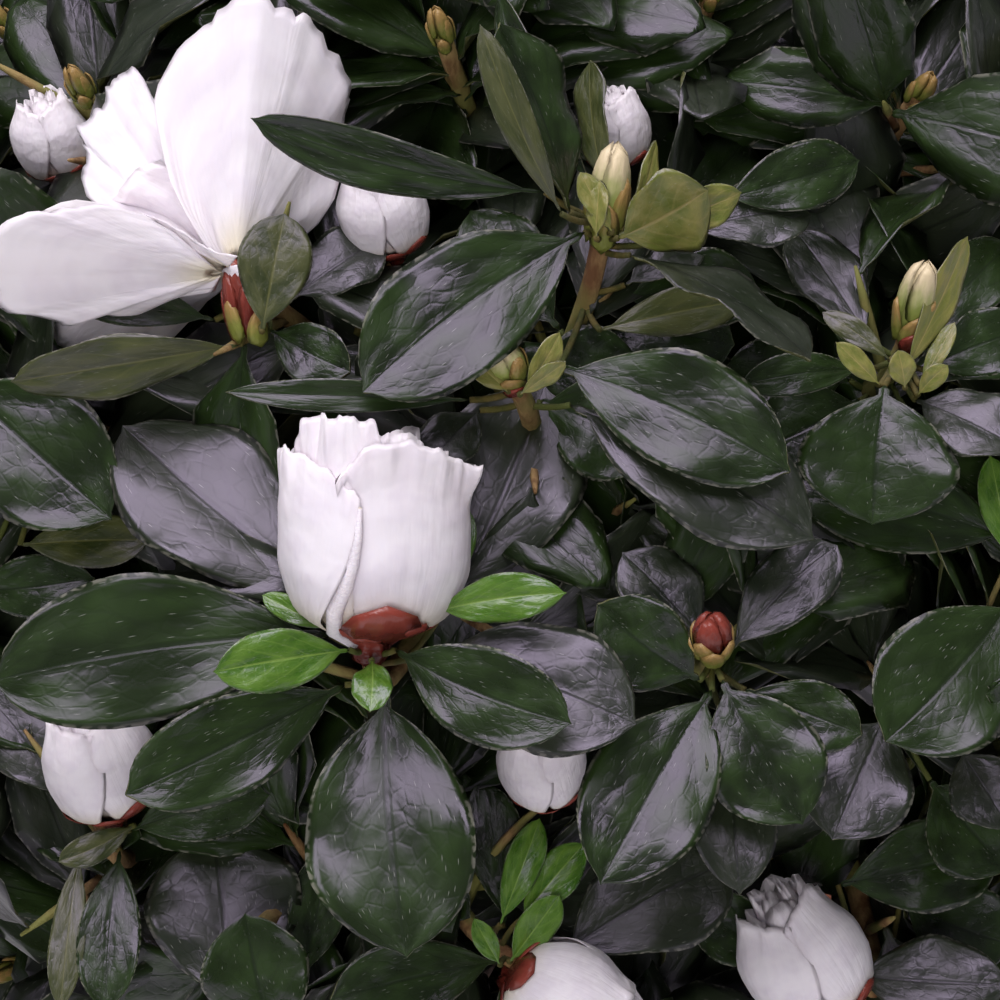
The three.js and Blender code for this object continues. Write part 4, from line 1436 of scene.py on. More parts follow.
def middle_bloom():
    """The bloom in the middle of the shoulder: two full lobes in front, the left one's hem over the
    right one and hanging down in a fold."""
    gathered = Gathered()
    left = [(-1, 24), (0.0, 25.4), (0.25, 26), (0.5, 25.2), (0.75, 23.4), (1, 20)]
    crest = [(-1, 26.5), (-0.75, 30), (-0.2, 30.9), (0.6, 30.4), (0.85, 30.6), (1, 27)]
    right = [(-1, 22.4), (-0.86, 26), (-0.77, 27.3), (-0.45, 28), (-0.25, 26.4), (0.0, 25)]
    right += [(0.25, 23.6), (1, 23.5)]
    for turn, span, high, girth, seed, flare, tucks, foot_span in (
        (-80, 148, left, 1.03, 0.12, 0.5, (3.0, 0.4), 0.35),
        (60, 160, right, 0.99, 0.61, 1.9, (1.6, 3.0), 0.8),
        (178, 120, 25.5, 0.98, 0.35, 0.5, (2.0, 2.0), 0.8),
        (-27, 66, crest, 0.92, 0.81, 1.0, (0.8, 0.8), 0.8),
    ):
        petal = cup_petal(turn, span, high, girth, 1.1, seed, 30, 73, flare, tucks, foot_span=foot_span)
        gathered.add(petal, 0, seed)
    for turn, span, high, girth, frill, seed in (
        (-30, 60, 28.6, 0.72, 1.0, 0.47),
        (-78, 60, 26.4, 0.84, 0.7, 0.27),
        (24, 60, 28.6, 0.8, 1.0, 0.53),
        (74, 66, 25.8, 0.84, 0.8, 0.05),
        (140, 80, 27.0, 0.84, 0.9, 0.66),
        (210, 80, 28.0, 0.84, 0.9, 0.93),
    ):
        gathered.add(cup_petal(turn, span, high, girth, frill, seed, 20, 37, close=0.06), 0, seed)
    for index in range(6):
        draw = functools.partial(chance, 90 + index)
        girth = 0.58 - 0.22 * (index % 2)
        petal = cup_petal(60 * index, 96, 27 + 2 * draw(3), girth, 0.6, draw(4), 14, 25, close=0.2)
        gathered.add(petal, 0, draw(8))
    hug = cup_hug(1.02)
    fold = ((-6, 19), (-7, 15), (-10, 11.5), (-15, 8.5), (-25, 5), (-37, 1.8), (-50, -1), (-58, -2.8))
    turns = [math.radians(turn) for turn, _ in fold]
    radii = [hug(height) - (1.1 if height > 3 else 0.2) for _, height in fold]
    ends = [
        np.array([math.sin(turn) * far, -math.cos(turn) * far, height])
        for turn, far, (_, height) in zip(turns, radii, fold)
    ]
    gathered.add(tube(ends, (0.2, 0.6, 0.9, 1.1, 1.2, 1.1, 0.9, 0.3), 12), 0, 0.4)
    scales = [(12, 10, 12, 0.5), (-26, 6, 7, 0.2), (-8, 5, 7, 0.9), (48, 7, 8, 0.2)]
    scales += [(95, 7, 9, 0), (150, 8, 10, 0.2), (205, 8, 9, 0)]
    for turn, length, width, gap in scales:
        scale = hugging_scale(turn, length, width, lambda height: hug(height) + gap, -3.8, 1, 0.5)
        gathered.add(scale, shade=chance(turn, 5))
    return gathered


def open_petal(length, width, seed, rows=13, columns=15, cup=0.1):
    """A broad petal with a ruffled edge: x across, y along, z up."""
    v = np.linspace(0, 1, rows)[:, None]
    u = np.linspace(-1, 1, columns)[None, :]
    half = width / 2 * (0.1 + 0.9 * np.sin(np.pi / 2 * np.minimum(1, v * 1.35)) ** 1.2)
    across = u * width / 2
    tip = length * (1 - 0.16 * np.abs(u) ** 2.2) + 1.0 * frilled(across, seed, 7.0)
    z = cup * length * (u**2) * v + length * (0.12 * v - 0.2 * v**3)
    z = z + eased(v, 0.4, 1.0) * 1.3 * frilled(across, seed + 0.3, 9.0)
    x = u * half * (1 + 0.05 * np.sin(v * 14 + seed * 8) * np.abs(u))
    return np.stack([x, tip * v, z], 2)


def open_bloom(seed):
    """A wide-open double bloom: five broad petals, a ring of smaller ones and a few stamens."""
    gathered = Gathered()
    rings = ((5, 33, 30, 30), (4, 22, 17, 56), (3, 14, 11, 72))
    for ring, (count, length, width, lift) in enumerate(rings):
        for index in range(count):
            key = seed + ring * 10 + index
            out = direction(360 * index / count + 40 * ring, lift)
            face = square_to(out, UP)
            sheet = petal_sheet(open_petal(length, width, chance(key, 2)))
            foot = np.array([0, 0, 1.0 + ring]) + out * 1.0
            gathered.add(stood(sheet, foot, np.cross(out, face), out, face), 0, chance(key, 7))
    for index in range(7):
        lean = unit(direction(index * 51, 70) + 0.1)
        gathered.add(tube([lean * s for s in (1, 8, 15, 20)], (0.45, 0.4, 0.35, 0.3), 5), 0, 0.5)
        gathered.add(tube([lean * 20, lean * 20.8, lean * 22], (0.5, 0.75, 0.4), 5), 1, 0.4)
    hugging_scales(gathered, 7, 8, 6.0, lambda height: 2.2 + 0.4 * (height + 4), -4.0, 1, seed + 5)
    return gathered


def drawn_petal(base, edge, bulge, depth, ragged, seed, rows=22, columns=61):
    """A petal that spreads from a base to an edge. Both are given in the picture, each with how much
    nearer than the depth it is. The bulge stands towards the eye."""
    handles = np.array(edge, float)
    share = np.linspace(0, len(handles) - 1, columns)
    smooth = np.stack([np.interp(share, range(len(handles)), handles[:, axis]) for axis in range(3)], 1)
    inner = (smooth[:-2] + 2 * smooth[1:-1] + smooth[2:]) / 4
    smooth = np.concatenate([smooth[:1], inner, smooth[-1:]])
    rim = np.array([seen_at(x, y, depth - nearer) for x, y, nearer in smooth])
    foot = seen_at(base[0], base[1], depth - base[2])
    steps = np.linalg.norm(np.diff(rim, axis=0), axis=1)
    run = np.concatenate([[0], np.cumsum(steps)])[None, :]
    u = np.linspace(-1, 1, columns)[None, :]
    v = np.linspace(0.05, 1, rows)[:, None]
    out = unit(EYE - foot)
    grid = foot + (rim - foot)[None, :, :] * (v * (1 + 0.022 * frilled(run, seed, 3.6) * v**6))[..., None]
    rise = bulge * np.sin(np.pi * v * 0.8) * (1 - 0.6 * u**2)
    rise = rise + ragged * frilled(run, seed, 12.0) * eased(v, 0.3, 1.0)
    rise = rise + 0.5 * ragged * frilled(run + 6 * v, seed + 0.2, 5.0) * eased(v, 0.6, 1.0)
    return petal_sheet(grid + rise[..., None] * out)


# The shoulder's open bloom, petal by petal: the foot and the edge in the picture, bulge and rags
OPEN_BLOOM_PETALS = [
    ((236, 270, 0), [
        (205, 248, 3), (168, 180, 3), (152, 97, 1), (176, 48, 0), (213, 19, 1), (232, -2, 2), (258, -8, 3),
        (293, 14, 1), (306, 13, 0), (321, 34, -2), (353, 84, -6), (348, 101, -7), (338, 153, -9),
        (339, 191, -9), (319, 224, -9), (275, 262, -5),
    ], 1.5, 0.4),
    ((226, 266, -2), [
        (232, 150, -5), (160, 110, -5), (134, 64, -6), (124, 74, -6), (111, 79, -5), (102, 106, -5),
        (93, 112, -4), (88, 120, -4), (75, 127, -3), (88, 152, -3), (80, 178, -2), (90, 202, 0),
        (140, 240, 1),
    ], 1.0, 0.7),
    ((222, 274, 0), [
        (175, 232, 4), (135, 212, 6), (99, 203, 9), (78, 206, 10), (51, 211, 11), (26, 212, 12),
        (-4, 226, 12), (-14, 270, 7), (0, 313, 2), (40, 316, 1), (69, 328, 0), (90, 312, 0),
        (128, 318, -2), (175, 296, -3), (215, 292, -2),
    ], 1.0, 0.35),
    ((228, 268, 1), [
        (150, 228, 4), (140, 212, 4), (165, 222, 4), (188, 236, 4), (214, 252, 3), (238, 256, 3),
    ], 0.8, 0.35),
]
# Its petals behind those: turn, lift and length
BACK_PETALS = ((150, 30, 30), (200, 36, 30), (175, 62, 20), (120, 60, 16), (240, 60, 18))


@functools.cache
def shoulder_open_bloom():
    """The wide-open bloom of the shoulder, with its far side finished too, its foot and its shoot."""
    shoot = next(shoot for shoot in list_shoots() if shoot.flower == "open")
    depth = depth_of(shoot.tip) - 3
    gathered = Gathered()
    for index, (base, edge, bulge, ragged) in enumerate(OPEN_BLOOM_PETALS):
        petal = drawn_petal(base, edge, bulge, depth, ragged, chance(index, 81))
        gathered.add(petal, 0, chance(index, 82))
    heart = seen_at(236, 268, depth + 1)
    axis = unit(seen_at(150, 170, depth + 12) - heart)
    for index, (turn, lift, length) in enumerate(BACK_PETALS):
        out = unit(lifted(turned(unit(np.cross(axis, OUT)), axis, turn), axis, lift))
        face = square_to(out, axis)
        sheet = petal_sheet(open_petal(length, length * 0.8, chance(index, 83)))
        gathered.add(stood(sheet, heart + out * 1.5, np.cross(out, face), out, face), 0, chance(index, 84))
    bottom = seen_at(250, 335, depth + 2)
    gathered.add(tube([bottom, (bottom + heart) / 2 + OUT, heart], (1.0, 1.2, 2.0), 12), 0, 0.4)
    scales = Gathered()
    hug = lambda height: 1.4 + 0.9 * np.sin(np.pi * np.clip(height / 12 + 0.2, 0, 1))
    hugging_scales(scales, 8, 12.0, 4.4, hug, -1.5, 1, 7.7)
    hugging_scales(scales, 3, 6.5, 4.0, lambda height: hug(height) + 0.4, -2.0, 2, 7.1)
    up = unit(heart - bottom)
    side = unit(np.cross(up, OUT))
    gathered.add(stood(scales.shape(), bottom, side, np.cross(up, side), up), None, 0.3)
    return gathered, bottom, shoot


def flower_bud(seed, length=14.0, girth=2.8, core=0, scales=6, reds=3):
    """A pointed bud: furled petals that show at its tip, in overlapping green and reddish scales."""
    gathered = Gathered()
    shares = [(-0.3, 0), (-0.25, 0.45), (0, 0.8), (0.3, 1.0), (0.55, 0.97), (0.78, 0.78)]
    shares += [(0.93, 0.48), (1, 0)]
    profile = [(radius * girth, share * length) for share, radius in shares]
    gathered.add(lathe(profile, 10), core, chance(seed, 3))
    hug = lambda height: np.interp(height / length, *zip(*shares)) * girth + 0.15
    for index in range(3):
        wrap = lambda height: hug(height) + 0.12 * index
        scale = hugging_scale(115 * index + seed * 50, length * 0.98, girth * 2.6, wrap, 0.6, core)
        gathered.add(scale, shade=chance(seed, index, 8))
    wider = lambda height: np.maximum(hug(height), 0.7 * girth) + 0.3
    hugging_scales(gathered, scales, length * 0.78, girth * 1.9, wider, -0.28 * length, 2, seed + 1)
    widest = lambda height: wider(height) + 0.4
    hugging_scales(gathered, reds, length * 0.42, girth * 1.6, widest, -0.3 * length, 1, seed + 2)
    return gathered


# Buds of the shoulder by their shoot: length, girth, what the core is, green scales and red ones
SHOULDER_BUDS = {
    1: (6.6, 2.3, 1, 8, 0),
    2: (12.0, 2.5, 0, 4, 0),
    3: (6.0, 2.2, 0, 4, 1),
    4: (11.0, 2.2, 0, 5, 1),
}
# Blooms under the shoulder's leaves: where their foot is in the picture, how far it stands back
# from the shoots' dome, the axis's tip and clock bearing, and its size
SUNKEN_BLOOMS = [
    (396, 255, 17, 66, 345, 0.5),
    (548, 800, 13, 60, 350, 0.48),
    (620, 168, 9, 72, 350, 0.4),
    (62, 178, 12, 66, 350, 0.46),
]


def sunken_places():
    places = []
    for index, (across, down, back, tip, clock, size) in enumerate(SUNKEN_BLOOMS):
        foot = seen_at(across, down, dome_depth(across, down) + back)
        ways = upright_frame(axis_of(tip, clock))
        places.append(Planted(foot, *ways, (size,) * 3, index % 3, 0, chance(index, 91), None))
    return places


def nearest_shoot(point):
    return min(list_shoots(), key=lambda shoot: np.linalg.norm(shoot.tip - point))


def flower_frame(shoot):
    if shoot.number < len(SHOULDER_SHOOTS):
        return upright_frame(shoot.axis)
    side = unit(np.cross(BACK, shoot.axis))
    return side, np.cross(shoot.axis, side), shoot.axis


# Studio


def far_floor():
    """How far a place on the floor is out of the lamps' reach, where it glows to meet the air."""
    tree, given, end = new_tree("Far floor", [("Place", "Vector")], [("Share", "Float")])
    away = node(tree, "ShaderNodeVectorMath", {0: given["Place"]}, operation="LENGTH").outputs["Value"]
    feed(tree, end, {"Share": between(tree, away, 0.7, 2.4)})
    return tree


def show(thing):
    bpy.context.scene.collection.objects.link(thing)
    return thing


def lay_floor(colour):
    material, tree, shader = new_material("Studio floor")
    share = group_parts(tree, far_floor(), Place=object_place(tree))["Share"]
    glow = blended(tree, share, (0, 0, 0, 1), (0.6, 0.6, 0.63, 1))
    feed(tree, shader, {"Base Color": opaque(colour), "Roughness": 0.9})
    feed(tree, shader, {"Emission Color": glow, "Emission Strength": 1.0})
    size = FLOOR_REACH
    corners = np.array([[-size, -size, 0], [size, -size, 0], [size, size, 0], [-size, size, 0]], float)
    floor = Gathered()
    floor.add((corners, [(0, 1, 2, 3)], np.zeros((4, 2)), [0]))
    floor.piece("studio_floor", [material])


def hang_light(name, place, aim, width, power, colour, is_mirrored):
    """A square light. A mirrored one shows in the gloss of the leaves."""
    light = bpy.data.lights.new(name, "AREA")
    light.shape = "SQUARE"
    light.size, light.energy, light.color = width, power, colour
    lamp = show(bpy.data.objects.new(name, light))
    lamp.location = place
    lamp.rotation_euler = (Vector(aim) - Vector(place)).to_track_quat("-Z", "Y").to_euler()
    lamp.visible_glossy = is_mirrored


def fill_air():
    world = bpy.data.worlds.new("Studio air")
    world.use_nodes = True
    tree = world.node_tree
    is_seen = node(tree, "ShaderNodeLightPath", {}).outputs["Is Camera Ray"]
    strength = between(tree, is_seen, 0.0, 1.0, 0.1, 0.75, False)
    feed(tree, tree.nodes["Background"], {"Color": (0.8, 0.8, 0.84, 1.0), "Strength": strength})
    bpy.context.scene.world = world


def set_camera():
    lens = bpy.data.cameras.new("Camera")
    lens.sensor_width = SENSOR_WIDTH
    lens.lens = SENSOR_WIDTH * VIEW_DISTANCE / VIEW_WIDTH
    lens.clip_start, lens.clip_end = 0.02, 20
    camera = show(bpy.data.objects.new("Camera", lens))
    frame_rows = zip(np.array([RIGHT, ABOVE, OUT]).T.tolist(), (EYE * MM).tolist())
    camera.matrix_world = Matrix([[*row, place] for row, place in frame_rows] + [[0, 0, 0, 1]])
    bpy.context.scene.camera = camera


def studio():
    look = bpy.context.scene.azalea
    lay_floor(look.floor_colour)
    power = look.light_power
    hang_light("Overhead light", tuple(OVERHEAD * MM), (0, -0.05, 0.22), 1.0, power, (1.0, 0.95, 1.0), True)
    hang_light("Front light", (-0.2, -1.4, 0.9), (0, 0, 0.2), 0.6, power * 0.6, (1.0, 0.95, 0.98), False)
    fill_air()
    set_camera()
    bpy.context.scene.view_settings.view_transform = "Standard"


# The add-on


class AzaleaSettings(bpy.types.PropertyGroup):
    """Sizes and colours of the potted azalea."""

    leaf_colour: bpy.props.FloatVectorProperty(
        name="Leaf", description="Upper side of a grown leaf", subtype="COLOR", min=0, max=1,
        default=linear(22, 32, 14)[:3],
    )
    petal_colour: bpy.props.FloatVectorProperty(
        name="Petal", description="Petals of the blooms", subtype="COLOR", min=0, max=1,
        default=linear(245, 237, 242)[:3],
    )
    clay_colour: bpy.props.FloatVectorProperty(
        name="Clay", description="Fired clay of the pot", subtype="COLOR", min=0, max=1,
        default=linear(168, 90, 58)[:3],
    )
    floor_colour: bpy.props.FloatVectorProperty(
        name="Floor", description="Studio floor", subtype="COLOR", min=0, max=1,
        default=(0.75, 0.75, 0.76),
    )
    light_power: bpy.props.FloatProperty(
        name="Light", description="Power of the overhead light", subtype="POWER", unit="POWER", min=0,
        default=17.0,
    )
    leaf_size: bpy.props.FloatProperty(
        name="Leaf size", description="Share of the natural size", subtype="FACTOR", min=0.2, max=2,
        default=1.0,
    )


class AZALEA_OT_pot(bpy.types.Operator):
    """Turn the clay pot, with its rim and drain holes"""

    bl_idname = "azalea.pot"
    bl_label = "Clay pot"

    def execute(self, context):
        foot, body, rim, top = POT_FOOT_RADIUS, POT_BODY_RADIUS, POT_RIM_RADIUS, POT_HEIGHT
        under_rim = top - POT_RIM_HEIGHT
        slope = (body - foot) / under_rim
        inner = rim - POT_WALL - 2.5
        profile = [(0, 0), (foot - 1.5, 0), (foot - 0.4, 0.5), (foot + 0.1, 1.8)]
        profile += [(foot + slope * h, h) for h in np.linspace(6, under_rim - 2, 14)]
        profile += [(body + 0.4, under_rim - 0.3), (rim - 1.6, under_rim), (rim - 0.4, under_rim + 0.6)]
        profile += [(rim, under_rim + 2), *((rim, h) for h in np.linspace(under_rim + 6, top - 5, 4))]
        profile += [(rim - 0.1, top - 2.2), (rim - 0.9, top - 0.7), (rim - 2.5, top)]
        profile += [(inner + 1.4, top), (inner + 0.3, top - 0.8), (inner - 0.3, top - 3)]
        profile += [(body - POT_WALL, under_rim), (foot + slope * POT_FLOOR - POT_WALL, POT_FLOOR)]
        profile += [(0, POT_FLOOR)]
        gathered = Gathered()
        gathered.add(lathe(profile, 96))
        pot = gathered.piece("clay_pot", [clay_material()])
        cutters = Gathered()
        for i in range(DRAIN_HOLES):
            centre = direction(360 * i / DRAIN_HOLES, 0) * DRAIN_CIRCLE
            cutters.add(tube([centre - UP * 5, centre + UP * 15], [DRAIN_RADIUS] * 2, 24))
        cutter = cutters.piece("drain_cutter", [])
        cut = pot.modifiers.new("Drain holes", "BOOLEAN")
        cut.operation, cut.solver, cut.object = "DIFFERENCE", "EXACT", cutter
        bpy.context.view_layer.update()
        made = bpy.data.meshes.new_from_object(pot.evaluated_get(bpy.context.evaluated_depsgraph_get()))
        pot.modifiers.remove(cut)
        pot.data = made
        bpy.data.objects.remove(cutter)
        finished(pot, "clay", "pot")
        return {"FINISHED"}


class AZALEA_OT_compost(bpy.types.Operator):
    """Fill the pot with compost and strew crumbs over it"""

    bl_idname = "azalea.compost"
    bl_label = "Compost"

    def execute(self, context):
        low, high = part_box("compost")
        edge = (high.x - low.x) / 2 / MM
        bottom = POT_FLOOR + 0.3
        profile = [(0, bottom), (POT_FOOT_RADIUS - 5, bottom), (edge - 1.5, 101)]
        profile += [(edge - 0.6, COMPOST_EDGE_HEIGHT)]
        for radius in np.linspace(edge - 4, 3, 18):
            rise = (GROUND_HEIGHT - COMPOST_EDGE_HEIGHT) * eased(radius, edge, 20)
            profile.append((radius, COMPOST_EDGE_HEIGHT + rise))
        profile += [(0, GROUND_HEIGHT)]
        shape = lathe(profile, 72)
        corners, faces, spots, _ = shape
        for corner in corners:
            if corner[2] > 104:
                broad, fine = noise.noise(Vector(corner * 0.12)), noise.noise(Vector(corner * 0.35))
                corner[2] += 1.3 * broad + 0.8 * fine - 1.2
        gathered = Gathered()
        gathered.add(shape)
        soil = compost_material("Peat compost", (38, 27, 19), (74, 54, 38))
        finished(gathered.piece("compost_bed", [soil]), "compost", "compost")
        top = Gathered()
        keep = [face for face in faces if min(corners[i][2] for i in face) > 106]
        top.add((corners, keep, spots, [0] * len(keep)))
        crumbs = top.piece("compost_crumbs", [])
        bits = compost_material("Pale bits", (120, 98, 72), (196, 186, 168))
        inputs = {"Crumbs": kinds_collection("Crumb", crumb_kinds()), "Density": CRUMB_DENSITY, "Seed": 4}
        apply_tree(crumbs, crumb_tree(), {**inputs, "Peat": soil, "Bits": bits})
        finished(crumbs, "compost")
        return {"FINISHED"}


def crumb_kinds():
    kinds = []
    for index in range(CRUMB_KINDS):
        corners, *others = lathe([(0, -1), (0.8, -0.6), (1.0, 0.1), (0.7, 0.7), (0, 1)], 6)
        lumps = [[0.7 + 0.7 * chance(index, i, axis) for axis in range(3)] for i in range(len(corners))]
        kinds.append((corners * lumps * 1.1, *others))
    return kinds


# The parts of the noise that push a bark's corners along x, y and z
PUSH_PLACES = (Vector((9.3, -1.5, -8.0)), Vector((0.0, 0.0, 0.0)), Vector((6.3, 11.2, -3.5)))


def roughened(shape, amount, scale):
    """Pushes a limb's corners in and out for the ridges of its bark."""
    corners, faces, spots, looks = shape
    for i, corner in enumerate(corners):
        stretched = Vector((corner[0] * scale, corner[1] * scale, corner[2] * scale * 0.35))
        corners[i] = corner + np.array([noise.noise(stretched + place) for place in PUSH_PLACES]) * amount
    return corners, faces, spots, looks


class AZALEA_OT_limbs(bpy.types.Operator):
    """Grow the stem and its boughs, with the bark's relief"""

    bl_idname = "azalea.limbs"
    bl_label = "Stem and boughs"

    def execute(self, context):
        gathered = Gathered()
        heights = np.linspace(0, STEM_HEIGHT, 30)
        radii = np.interp(heights, *zip(*STEM_PROFILE))
        points = [(lean_at(h / STEM_HEIGHT), 0, GROUND_HEIGHT - 1.5 + h) for h in heights]
        gathered.add(roughened(tube(points, radii - 0.5, 28), 0.9, 0.25))
        for mass in list_masses():
            radii = mass.radius * (1 - 0.28 * np.linspace(0, 1, 26))
            gathered.add(roughened(limb(bough_handles(mass), radii, 12), 0.5, 0.4))
        bark = bark_material("Bark", (58, 42, 32), (122, 98, 76))
        limbs = gathered.piece("stem_and_boughs", [bark])
        finished(limbs, "bark", "stem", *(f"bough_{mass.name}" for mass in list_masses()))
        return {"FINISHED"}


class AZALEA_OT_twigs(bpy.types.Operator):
    """Grow the stems inside the masses, the shoots' twigs and the finer twigs on them"""

    bl_idname = "azalea.twigs"
    bl_label = "Twigs"

    def execute(self, context):
        gathered = Gathered()
        _, leafy = ruled_leaves()
        for mass in list_masses():
            ends = [CROWN_CENTRE + mass.way * out for out in (BOUGH_REACH - 1, 66, 75, STEM_END)]
            gathered.add(tube(ends, np.linspace(mass.radius * 0.72, 2.0, 4), 8))
        for shoot in list_shoots():
            twig = limb(twig_handles(shoot), 1.9 - 0.6 * np.linspace(0, 1, 12), 8)
            gathered.add(roughened(twig, 0.15, 0.8))
            for start, sprig in side_sprigs(shoot):
                if sprig.number in leafy:
                    bend = (start + sprig.tip) / 2 - sprig.axis * 1.5
                    handles = [start, bend, sprig.tip - sprig.axis]
                    gathered.add(limb(handles, (0.9, 0.85, 0.8, 0.7, 0.25), 5))
        for place in sunken_places():
            gathered.add(stalk_to(place.foot, nearest_shoot(place.foot)))
        gathered.add(stalk_to(*shoulder_open_bloom()[1:]))
        bark = bark_material("Twig bark", (96, 66, 42), (150, 122, 82), (112, 112, 60))
        finished(gathered.piece("twigs", [bark]), "bark", *(f"foliage_{mass.name}" for mass in list_masses()))
        stalks = Gathered()
        for _, _, _, foot, shoot in shoulder_leaves():
            stalks.add(stalk_to(foot, shoot, 0.5))
        green = bark_material("Leaf stalk", (58, 60, 26), (96, 84, 44), (70, 78, 34))
        finished(stalks.piece("leaf_stalks", [green]), "leaves")
        return {"FINISHED"}


def stalk_to(foot, shoot, radius=1.0):
    """A stalk, or a finer twig, from the nearest part of a shoot's twig to a shoulder leaf's foot."""
    handles = twig_handles(shoot)
    places = [bezier(handles, share) for share in np.linspace(0.55, 1.0, 30)]
    start = min(places, key=lambda place: np.linalg.norm(place + shoot.axis * 1.5 - foot))
    gap = np.linalg.norm(foot - start)
    bend = (start + foot) / 2 - shoot.axis * gap * 0.15
    return limb([start, bend, foot], np.linspace(radius, 0.45, 6), 6)


class AZALEA_OT_leaves(bpy.types.Operator):
    """Set out the leaves of the rule, mass by mass"""

    bl_idname = "azalea.leaves"
    bl_label = "Leaves"

    def execute(self, context):
        looks = [(title, 0, tint) for tint, title in enumerate(LEAF_TITLES[:UNDERSIDE])]
        looks.append((LEAF_TITLES[UNDERSIDE], 1, None))
        tree = planting_tree("Planted leaves", looks)
        inputs = dict(zip(LEAF_TITLES, leaf_materials()))
        inputs["Kinds"] = kinds_collection("Leaf", leaf_kinds())
        inputs["Size"] = context.scene.azalea.leaf_size
        leaves, _ = ruled_leaves()
        for mass in list_masses():
            own = [leaf for leaf in leaves if leaf.mass == mass.name]
            finished(set_out(f"leaves_{mass.name}", tree, inputs, own), "leaves", f"foliage_{mass.name}")
        return {"FINISHED"}


class AZALEA_OT_shoulder_leaves(bpy.types.Operator):
    """Shape the leaves of the front shoulder one by one"""

    bl_idname = "azalea.shoulder_leaves"
    bl_label = "Shoulder leaves"

    def execute(self, context):
        gathered = Gathered()
        for (*shape, looks), tint, shade, _, _ in shoulder_leaves():
            gathered.add((*shape, [UNDERSIDE if look else tint for look in looks]), None, shade)
        finished(gathered.piece("leaves_shoulder", leaf_materials()), "leaves")
        return {"FINISHED"}


# The kinds of bloom and bud that stand after the ones dealt out by chance
MIDDLE_BLOOM = 3
RESTING_BUD = 7
# Half-open blooms of the shoulder by their shoot: size, where the foot is in the picture, and the
# way the bloom leans, as its shoot's angle from the line of sight and its clock angle
SHOULDER_BLOOMS = {
    0: (1.0, 371, 637, 84, 2),
    5: (0.66, 510, 978, 74, 112),
    6: (0.74, 835, 1015, 83, 332),
    7: (0.62, 114, 818, 76, 348),
}


def bloom_pose(shoot):
    """A bloom's size, its foot, and its sideways, backward and upward ways."""
    if shoot.number not in SHOULDER_BLOOMS:
        return 0.7 + 0.3 * chance(shoot.number, 73), shoot.tip, *flower_frame(shoot)
    size, across, down, tip, clock = SHOULDER_BLOOMS[shoot.number]
    return size, seen_at(across, down, depth_of(shoot.tip)), *upright_frame(axis_of(tip, clock))


def flower_kind(flower, shoot):
    """Which of its kinds a flower is. The bloom in the middle and the shoulder's buds have their own."""
    if flower == "bloom" and shoot.number == 0:
        return MIDDLE_BLOOM
    if flower == "bud" and shoot.flower == "none":
        return RESTING_BUD
    if flower == "bud" and shoot.number in SHOULDER_BUDS:
        return 2 + shoot.number
    return int((2 if flower == "open" else 3) * chance(shoot.number, 71))


@functools.cache
def flower_places(flower):
    """Where the flowers of one kind stand on their shoots. A shoot with no flower ends in a bud."""
    places = []
    for shoot in list_shoots():
        carried = "bud" if shoot.flower == "none" else shoot.flower
        if carried != flower or (flower == "open" and shoot.number < len(SHOULDER_SHOOTS)):
            continue
        size, *ways = bloom_pose(shoot) if flower == "bloom" else (1.0, shoot.tip, *flower_frame(shoot))
        kind = flower_kind(flower, shoot)
        places.append(Planted(*ways, (size,) * 3, kind, 0, chance(shoot.number, 72), None))
    return places + (sunken_places() if flower == "bloom" else [])


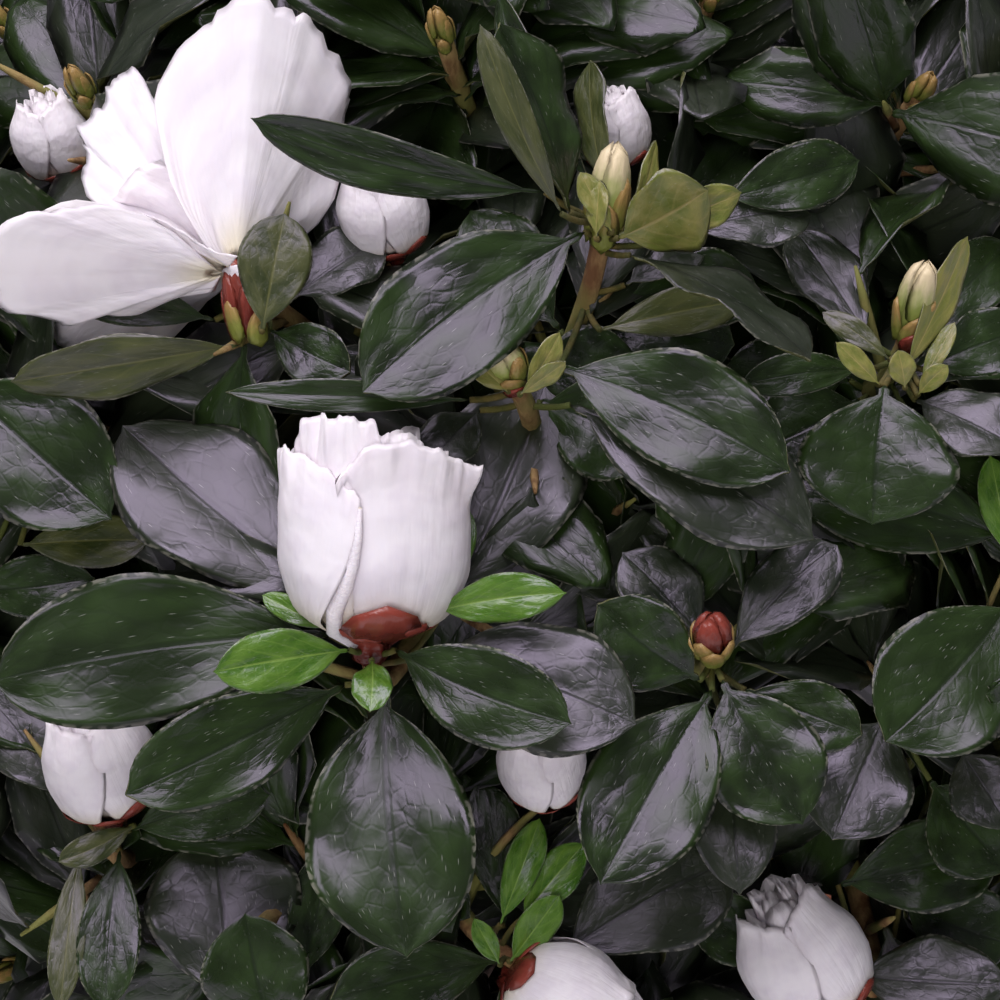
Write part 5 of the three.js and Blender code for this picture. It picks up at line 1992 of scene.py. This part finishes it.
class AZALEA_OT_flowers(bpy.types.Operator):
    """Set out the half-open blooms, the open ones and the buds"""

    bl_idname = "azalea.flowers"
    bl_label = "Blooms and buds"

    def execute(self, context):
        looks = [("Petal", 0, None), ("Red scale", 1, None), ("Green scale", 2, None)]
        tree = planting_tree("Planted flowers", looks)
        red, green = scale_material("red"), scale_material("green")
        buds = [flower_bud(80 + index) for index in range(3)]
        buds += [flower_bud(90 + key, *row) for key, row in SHOULDER_BUDS.items()]
        buds.append(flower_bud(97, 5.5, 1.2, 2, 4, 0))
        blooms = [*(half_open_bloom(60 + index) for index in range(3)), middle_bloom()]
        for flower, name, petal, shapes in (
            ("bloom", "blooms", petal_material(), blooms),
            ("open", "open_blooms", petal_material(), [open_bloom(70), open_bloom(71)]),
            ("bud", "buds", scale_material("white"), buds),
        ):
            inputs = {"Petal": petal, "Red scale": red, "Green scale": green, "Size": 1.0}
            inputs["Kinds"] = kinds_collection(flower, shapes)
            finished(set_out(name, tree, inputs, flower_places(flower)), "petals")
        drawn, _, _ = shoulder_open_bloom()
        finished(drawn.piece("open_bloom_shoulder", [petal_material(), red, green]), "petals")
        return {"FINISHED"}


class AZALEA_OT_stage(bpy.types.Operator):
    """Lay the floor and set the lights and the camera"""

    bl_idname = "azalea.stage"
    bl_label = "Studio"

    def execute(self, context):
        studio()
        return {"FINISHED"}


OPERATORS = (
    AZALEA_OT_pot,
    AZALEA_OT_compost,
    AZALEA_OT_limbs,
    AZALEA_OT_twigs,
    AZALEA_OT_leaves,
    AZALEA_OT_shoulder_leaves,
    AZALEA_OT_flowers,
    AZALEA_OT_stage,
)


class AZALEA_PT_panel(bpy.types.Panel):
    """Sizes, colours and pieces of the potted azalea"""

    bl_idname = "AZALEA_PT_panel"
    bl_label = "Potted Azalea"
    bl_space_type = "VIEW_3D"
    bl_region_type = "UI"
    bl_category = "Azalea"

    def draw(self, context):
        for title in AzaleaSettings.__annotations__:
            self.layout.prop(context.scene.azalea, title)
        for operator in OPERATORS:
            self.layout.operator(operator.bl_idname)


def register():
    for kind in (AzaleaSettings, *OPERATORS, AZALEA_PT_panel):
        bpy.utils.register_class(kind)
    bpy.types.Scene.azalea = bpy.props.PointerProperty(type=AzaleaSettings)


def unregister():
    del bpy.types.Scene.azalea
    for kind in reversed((AzaleaSettings, *OPERATORS, AZALEA_PT_panel)):
        bpy.utils.unregister_class(kind)


def main():
    register()
    for operator in OPERATORS:
        area, name = operator.bl_idname.split(".")
        getattr(getattr(bpy.ops, area), name)()


if __name__ == "__main__":
    main()
